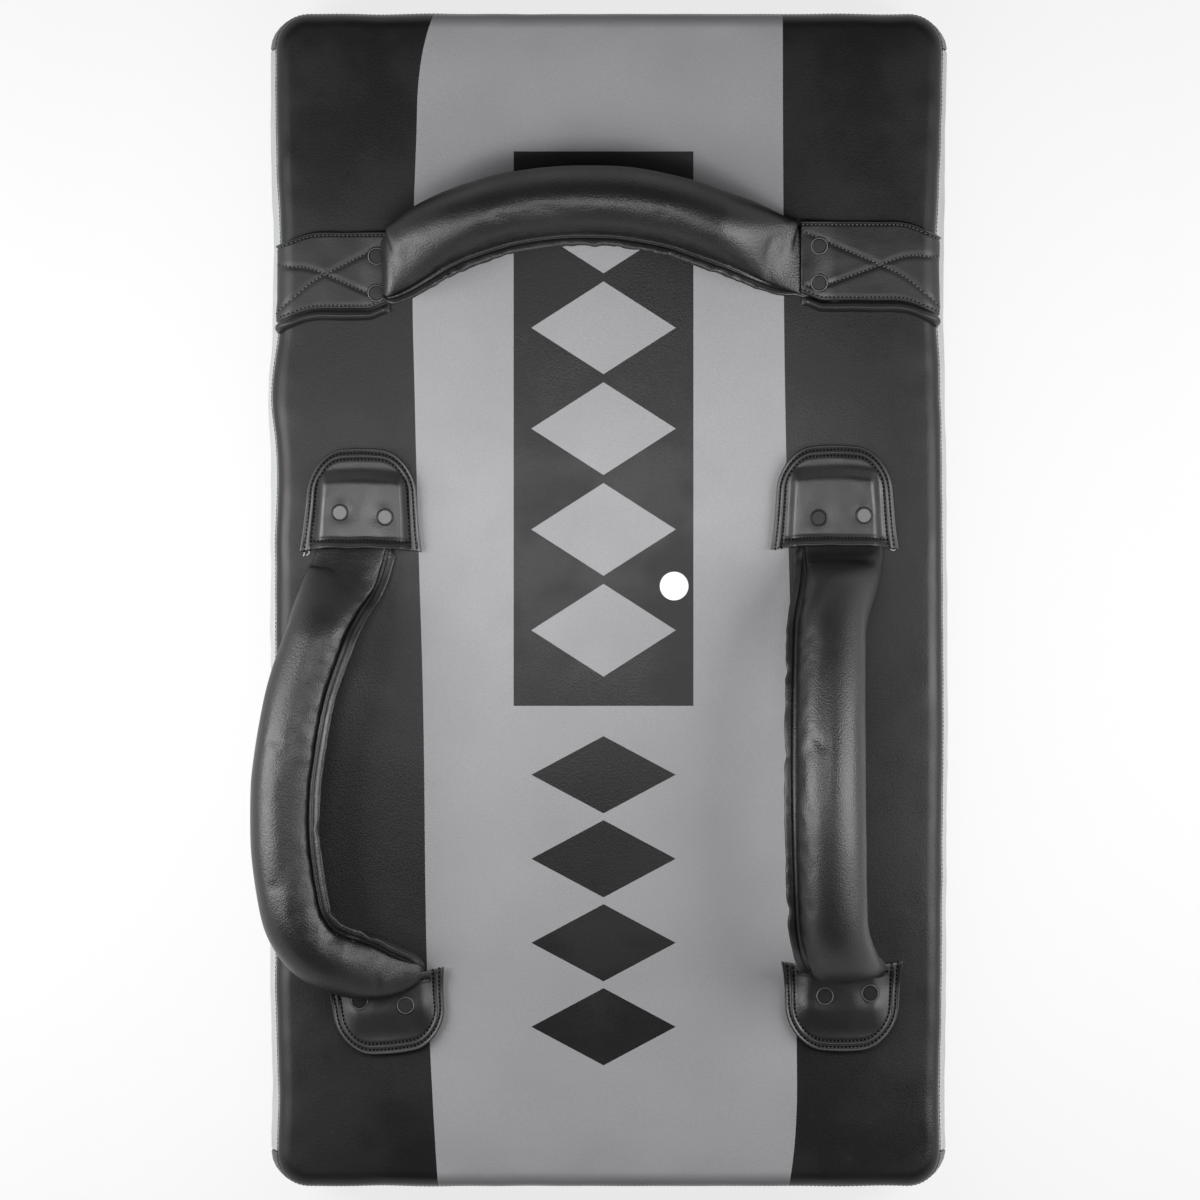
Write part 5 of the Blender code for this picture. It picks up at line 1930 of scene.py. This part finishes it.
    def section(self, station: Station, layer: Layer) -> list[Vector]:
        """One cross-section of a layer.

        Args:
            station: its place and size.
            layer: the cover, the foam or the webbing.

        Returns:
            The points round it, starting opposite the seam for the cover and the foam.
        """
        if layer is Layer.WEBBING:
            folded = smoothstep(station.half_thickness / 0.010 - 0.2)
            half = self.webbing_half - self.webbing_fold * folded
            narrowed = min(half, max(0.0012, station.half_width - self.webbing_clearance))
            half += (narrowed - half) * smoothstep((station.near + 0.014) / 0.010)
            thick = 0.0008 + 0.0008 * folded
            corners = ((half, -thick), (half, thick), (-half, thick), (-half, -thick))
            return [station.centre + station.side * a + station.outward * b for a, b in corners]
        inset = self.inset if layer is Layer.FOAM else 0.0
        wide = station.half_width - inset
        thick = station.half_thickness - inset
        squash = 1 + 0.8 * max(0.0, 1 - thick / max(wide, 1e-6)) ** 2
        points = []
        for k in range(self.around):
            angle = station.lip_angle + math.pi + math.tau * k / self.around
            a = math.copysign(abs(math.sin(angle)) ** (1 / squash), math.sin(angle))
            b = -math.copysign(abs(math.cos(angle)) ** (1 / squash), math.cos(angle))
            away = (math.tau * k / self.around - math.pi) * self.radius
            if layer is Layer.COVER:
                groove = self.groove * bell(away, 0.0016) * station.seam
                fold = self.fold * self.wrinkle(station.distance, away) * station.seam
            else:
                groove = fold = 0.0
            centre_pull = 1 - (groove + fold) / self.radius
            points.append(
                station.centre + station.side * (self.lip_side * wide * a * centre_pull)
                + station.outward * (thick * b * centre_pull)
            )
        return points

    def pins(self, stations: Sequence[Station]) -> list[float]:
        """Holds the cover at its seam and at both mouths.

        Args:
            stations: its cross-sections.

        Returns:
            How firmly each point is held, ring by ring, from 0 to 1.
        """
        made = []
        for station in stations:
            held = 1 - smoothstep(station.near / 0.016)
            for k in range(self.around):
                away = (math.tau * k / self.around - math.pi) * self.radius
                made.append(max(held, bell(away, 0.0034)))
        return made

    def wrinkle(self, distance: float, away: float) -> float:
        """Depth of the fine folds: puckers that fade away from the seam and broad soft dents."""
        puckers = ripple(distance / 0.0075, away / 0.02, self.seed) * bell(abs(away) - 0.003, 0.009)
        broad = ripple(distance / 0.045, away / 0.05, self.seed + 3.0)
        return 0.5 * puckers + 0.45 * broad

    def tube(self, layer: Layer, stations: Sequence[Station]) -> bmesh.types.BMesh:
        """Joins the sections of a layer into a tube closed at both ends."""
        return tube_of([self.section(station, layer) for station in stations])

    def lip(self, stations: Sequence[Station]) -> bmesh.types.BMesh:
        """The flat sewn lip along the seam, with a rolled fold at its root and a wavy free edge.

        Args:
            stations: the cross-sections that it runs along.

        Returns:
            Its mesh, closed at both ends.
        """
        rings = []
        for station in stations:
            angle = station.lip_angle
            along_w = math.sin(angle) * self.lip_side
            along_t = -math.cos(angle)
            direction = (station.side * along_w * station.half_thickness
                         + station.outward * along_t * station.half_width).normalized()
            surface = station.centre + station.side * along_w * station.half_width
            surface += station.outward * along_t * station.half_thickness
            tangent = station.side.cross(station.outward)
            flat = tangent.cross(direction).normalized()
            grown = 0.12 + 0.88 * station.seam
            rings.append(self.lip_ring(station, surface, direction, flat, grown))
        return tube_of(rings)

    def lip_ring(
        self, station: Station, root: Vector, direction: Vector, flat: Vector, grown: float
    ) -> list[Vector]:
        """One closed outline of the lip.

        Args:
            station: the handle's cross-section there.
            root: where the lip leaves the cover.
            direction: from the root to the free edge.
            flat: across the lip's thickness.
            grown: share of its full size.

        Returns:
            The points round it.
        """
        run = station.distance
        edge_wave = self.ruffle * ripple(run / self.ruffle_pitch, 0.5, self.seed + 8.0)
        bend = 1.6 * self.ruffle * ripple(run / (0.8 * self.ruffle_pitch), 4.5, self.seed + 2.0)
        bend += 0.0008 * ripple(run / 0.05, 1.5, self.seed)
        dent = sum(bell(run - place, 0.0035) for place in self.dents)
        width = self.lip_width - 0.0014 * dent + edge_wave + station.web
        bend -= 0.0010 * dent
        thinned = 0.45 + 0.55 * grown
        outline = (
            (-0.0030, 0.0011), (-0.0004, 0.0011), (0.0004, 0.00125), (0.0010, 0.0010), (0.0014, 0.0003),
            (0.0019, 0.0002), (0.0026, 0.0010), (0.0034, self.lip_half), (width - 0.0018, self.lip_half),
            (width - 0.0006, 0.8 * self.lip_half), (width, 0.3 * self.lip_half),
        )
        points = []
        for side in (1, -1):
            order = outline if side == 1 else reversed(outline)
            for reach, half in order:
                share = min(1.3, max(0.0, reach / self.lip_width))
                across = side * half * thinned + bend * share * share * grown
                points.append(root + (direction * reach * grown + flat * across))
        return points

    def dress(
        self, name: str, bm: bmesh.types.BMesh, layer: Layer, end: HandleEnd, start: Vector, stop: Vector
    ) -> None:
        """Gives a half its finish and its smooth surface, hides the model's pieces that it stands for, and
        bakes its place into its mesh.

        Args:
            name: the piece's name.
            bm: its mesh.
            layer: what it is.
            end: the end of the handle that it belongs to.
            start: where it starts to bend; not used.
            stop: where it follows the arch; not used.
        """
        looks = {
            Layer.COVER: (self.palette.handle, "black_leather"),
            Layer.FOAM: (self.palette.dense_foam, "dense_foam"),
            Layer.WEBBING: (self.palette.webbing, "webbing"),
            Layer.LIP: (self.palette.handle, "black_leather"),
        }
        material, slot = looks[layer]
        piece = finished(name, bm, material, slot, sharp=75 if layer is not Layer.WEBBING else 30)
        nodes = {
            Layer.COVER: [f"{self.name}_cover", f"{end.mouth.name}_tab"],
            Layer.FOAM: [f"{self.name}_foam"],
            Layer.WEBBING: [f"{self.name}_webbing", f"{end.mouth.name}_webbing_end"],
            Layer.LIP: [f"{self.name}_cover"],
        }[layer]
        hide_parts(*[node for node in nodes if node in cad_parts])
        tuple(start)
        tuple(stop)
        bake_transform(piece)


# Studio


@dataclass
class Studio:
    """A pale floor, soft lamps and the camera straight above the shield."""

    camera_height: float = 7.0
    view_width: float = 0.714
    view_x: float = -0.0051
    floor_size: float = 8.0
    ambient: float = 0.09

    def build(self) -> None:
        """Makes the floor, the lamps, the world and the camera."""
        bm = bmesh.new()
        bmesh.ops.create_grid(bm, x_segments=1, y_segments=1, size=self.floor_size / 2)
        mesh = bpy.data.meshes.new("floor")
        bm.to_mesh(mesh)
        bm.free()
        floor = bpy.data.objects.new("floor", mesh)
        floor.location = (0, 0, -0.001)
        mesh.materials.append(self.floor_material())
        bpy.context.scene.collection.objects.link(floor)
        self.world()
        self.lamp("left_softbox", (-0.61, -0.03, 0.53), (0, -0.03, 0.15), (0.42, 0.60), 6.1)
        self.lamp("right_softbox", (0.61, -0.05, 0.53), (0, -0.03, 0.15), (0.42, 0.60), 5.1)
        self.lamp("overhead_softbox", (-0.03, 0.04, 0.70), (-0.03, 0.04, 0.15), (0.44, 0.16), 1.35)
        self.camera()

    def showing(self, nodes: NodeTree) -> Socket:
        """1 for rays that see the background: straight, in a reflection or through glass."""
        path = nodes.add("LightPath")
        seen = nodes.math("MAXIMUM", path.outputs["Is Camera Ray"], path.outputs["Is Glossy Ray"])
        return nodes.math("MAXIMUM", seen, path.outputs["Is Transmission Ray"])

    def floor_material(self) -> bpy.types.Material:
        """Pale paper, nearly white to the camera, that keeps the shield's shadow."""
        material, nodes, shader = start_material("pale floor")
        shader.inputs["Base Color"].default_value = (0.80, 0.80, 0.80, 1)
        shader.inputs["Roughness"].default_value = 0.8
        white = nodes.add("Emission", {"Color": (1, 1, 1, 1), "Strength": 1.0})
        share = nodes.math("MULTIPLY", self.showing(nodes), 0.80)
        mix = nodes.add("MixShader", {0: share, 1: shader.outputs[0], 2: white.outputs[0]})
        output = material.node_tree.nodes["Material Output"]
        nodes.put(output.inputs["Surface"], mix.outputs[0])
        return material

    def world(self) -> None:
        """A white backdrop all round under a dimmer ceiling, plain white where the camera sees it."""
        world = bpy.data.worlds.new("studio")
        world.use_nodes = True
        bpy.context.scene.world = world
        nodes = NodeTree(world.node_tree)
        back = world.node_tree.nodes["Background"]
        back.inputs["Color"].default_value = (1, 1, 1, 1)
        height = nodes.add("SeparateXYZ", {"Vector": nodes.add("TexCoord").outputs["Generated"]}).outputs["Z"]
        path = nodes.add("LightPath")
        backdrop = nodes.math("MULTIPLY", self.showing(nodes), nodes.ramp(height, 0.12, 0.50, 1.0, 0.0))
        share = nodes.math("MAXIMUM", path.outputs["Is Camera Ray"], backdrop)
        strength = nodes.math("MULTIPLY_ADD", share, 1 - self.ambient, self.ambient)
        nodes.put(back.inputs["Strength"], strength)

    def lamp(
        self, name: str, place: Sequence[float], target: Sequence[float], size: Sequence[float], power: float
    ) -> None:
        """A soft rectangular lamp.

        Args:
            name: the lamp's name.
            place: where it hangs.
            target: the point that it looks at.
            size: its width and height.
            power: its power in watts.
        """
        data = bpy.data.lights.new(name, "AREA")
        data.shape = "RECTANGLE"
        data.size, data.size_y = size
        data.energy = power
        lamp = bpy.data.objects.new(name, data)
        lamp.location = place
        lamp.rotation_euler = (Vector(target) - Vector(place)).to_track_quat("-Z", "Y").to_euler()
        bpy.context.scene.collection.objects.link(lamp)

    def camera(self) -> None:
        """A long lens straight above the back, with the top edge up."""
        data = bpy.data.cameras.new("camera")
        data.sensor_width = 36
        data.lens = 36 * self.camera_height / self.view_width
        data.clip_end = 100
        camera = bpy.data.objects.new("camera", data)
        camera.location = (self.view_x, 0, SHAPE.depth + self.camera_height)
        bpy.context.scene.collection.objects.link(camera)
        bpy.context.scene.camera = camera


# The whole shield


LEFT_UPPER = Mouth("left_upper", -0.1475, 0.0300, (-0.0145, 0.2530))
LEFT_LOWER = Mouth("left_lower", -0.1330, -0.2230, (0.0145, -0.2530))
RIGHT_UPPER = Mouth("right_upper", 0.1345, 0.0315, (-0.0045, 0.2480))
RIGHT_LOWER = Mouth("right_lower", 0.1390, -0.2165, (0.0045, -0.2480))
TOP_LEFT = Mouth("top_left", -0.1210, 0.1935, (-1, 0))
TOP_RIGHT = Mouth("top_right", 0.1080, 0.1995, (1, 0))


def build_handles(palette: Palette) -> None:
    """The two side handles and the top handle."""
    left = PaddedHandle(
        palette, "left_handle",
        HandleEnd(LEFT_UPPER, 0.0290, 0.0212, 0.040, rise=0.0042, start_thickness=0.0034, square=0.026),
        HandleEnd(LEFT_LOWER, 0.0, 0.0175, 0.034, rise=0.0128, start_thickness=0.0100, lip_angle=66,
                  blunt=0.044, bend=0.060, lip_start=0.004, plump=0.020, pinch=0.12, web=0.0030),
        76, Vector((-1, 0, 0)),
        (
            (0.0120, 0.0050), (0.0300, 0.0160), (0.0478, 0.0262), (0.0850, 0.0415), (0.1324, 0.0525),
            (0.1560, 0.0550), (0.1754, 0.0555), (0.2030, 0.0532), (0.2190, 0.0500), (0.2330, 0.0415),
            (0.2415, 0.0290), (0.2455, 0.0165), (0.2478, 0.0050), (0.2495, -0.0060), (0.2507, -0.0170),
            (0.2515, -0.0290),
        ),
        40, -1, shift=0.0050, seed=1.0, dents=(0.205, 0.262, 0.305), ruffle=0.0003,
    )
    right = PaddedHandle(
        palette, "right_handle",
        HandleEnd(RIGHT_UPPER, 0.0290, 0.0232, 0.038, rise=0.0042, start_thickness=0.0034, square=0.020),
        HandleEnd(RIGHT_LOWER, 0.0250, 0.0212, 0.060, start_thickness=0.0050, bend=0.036, lip_start=0.010),
        7, Vector((-1, 0, 0)),
        (
            (0.0120, 0.0050), (0.0300, 0.0160), (0.0478, 0.0262), (0.0850, 0.0415), (0.1300, 0.0525),
            (0.1540, 0.0550), (0.1720, 0.0555), (0.1980, 0.0532), (0.2200, 0.0478), (0.2375, 0.0385),
            (0.2470, 0.0265), (0.2492, 0.0150), (0.2500, 0.0055),
        ),
        6, 1, shift=-0.0055, in_plane=True, seed=21.0, dents=(0.120, 0.170, 0.260), ruffle=0.0005,
    )
    top = PaddedHandle(
        palette, "top_handle",
        HandleEnd(TOP_LEFT, 0.0, 0.0205, 0.016, rise=0.0125, start_thickness=0.0085, lip_angle=25,
                  blunt=0.008, floor=0.0040, bend=0.040, lip_start=-0.004, pinch=0.80, square=0.022),
        HandleEnd(TOP_RIGHT, 0.0100, 0.0212, 0.038, rise=0.0030, start_thickness=0.0026, lip_angle=20,
                  square=0.010, lip_start=-0.004),
        70, Vector((0, 1, 0)),
        (
            (-0.0138, 0.0018), (-0.0100, 0.0036), (-0.0050, 0.0070), (0.0000, 0.0108), (0.0060, 0.0152),
            (0.0160, 0.0225), (0.0320, 0.0305), (0.0580, 0.0385), (0.0800, 0.0420), (0.1000, 0.0432),
            (0.1280, 0.0418), (0.1515, 0.0373), (0.1660, 0.0333), (0.1987, 0.0195), (0.2224, 0.0070),
            (0.2330, 0.0018),
        ),
        8, 1, shift=-0.0010, seed=41.0, ruffle=0.0009, ruffle_pitch=0.0048, radius=0.0205,
    )
    for handle in (left, right, top):
        handle.build()


def build_anchors(palette: Palette) -> None:
    """Four sewn patches and two straps."""
    lower = {
        "tab_margin": 0.0245, "far_slope": 0.0160, "side_slope": 0.0110, "tab_height": 0.0040,
        "looks": (RivetLook.OUTLINED, RivetLook.OUTLINED),
    }
    Patch(
        palette, LEFT_UPPER, 0.0350, 0.0555, rivet_v=0.0206, rivet_shift=-0.0008, rivet_tilt=0.088,
        away=(0.01, 1),
        thread_ends=((0.0344, -0.0008, 0.0034, 3.6), (0.0306, -0.0012, 0.0030, 4.3)), seed=0.7,
    ).build()
    Patch(
        palette, LEFT_LOWER, 0.0338, 0.0425, rivet_v=0.0164, rivet_shift=-0.0031, rivet_tilt=0.205,
        away=(0.10, -1),
        ear_lift=0.0020, seed=5.7, corner=0.0205, taper=0.05, **lower,
    ).build()
    Patch(
        palette, RIGHT_UPPER, 0.0368, 0.0560, rivet_v=0.0180, rivet_shift=-0.0039, rivet_tilt=-0.053,
        looks=(RivetLook.RUBBED, RivetLook.BLACK),
        thread_ends=((-0.0360, -0.0014, 0.0030, 5.4),), seed=10.7,
    ).build()
    Patch(
        palette, RIGHT_LOWER, 0.0345, 0.0475, rivet_v=0.0182, rivet_shift=0.0032, rivet_tilt=-0.064,
        away=(0, -1),
        ear_lift=0.0040, seed=15.7, corner=0.0225, taper=0.04, **lower,
    ).build()
    Strap(palette, TOP_LEFT, 0.0175, -1, 0.0077, start=0.0090, seed=2.3).build()
    Strap(palette, TOP_RIGHT, 0.0175, 1, 0.0089, shift=0.0019, lift=0.0030, width=0.0482, seed=6.1).build()


def finish_inner_parts(palette: Palette) -> None:
    """Gives the foam layers and the backers inside the cover their finishes."""
    foams = (
        ("impact_foam", palette.dense_foam), ("core_foam", palette.core_foam),
        ("backing_foam", palette.firm_foam),
    )
    for name, material in foams:
        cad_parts[name].data.materials.clear()
        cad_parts[name].data.materials.append(material)
    for name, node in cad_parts.items():
        if name.endswith("_backer"):
            node.data.materials.clear()
            node.data.materials.append(palette.webbing)


def main() -> None:
    """Builds the shield's looks in order and the studio round it."""
    logging.basicConfig(level=logging.INFO, format="%(message)s")
    palette = Palette()
    Cover(palette).build()
    build_anchors(palette)
    build_handles(palette)
    finish_inner_parts(palette)
    Studio().build()
    bpy.context.scene.view_settings.view_transform = "Standard"


if __name__ == "__main__":
    main()
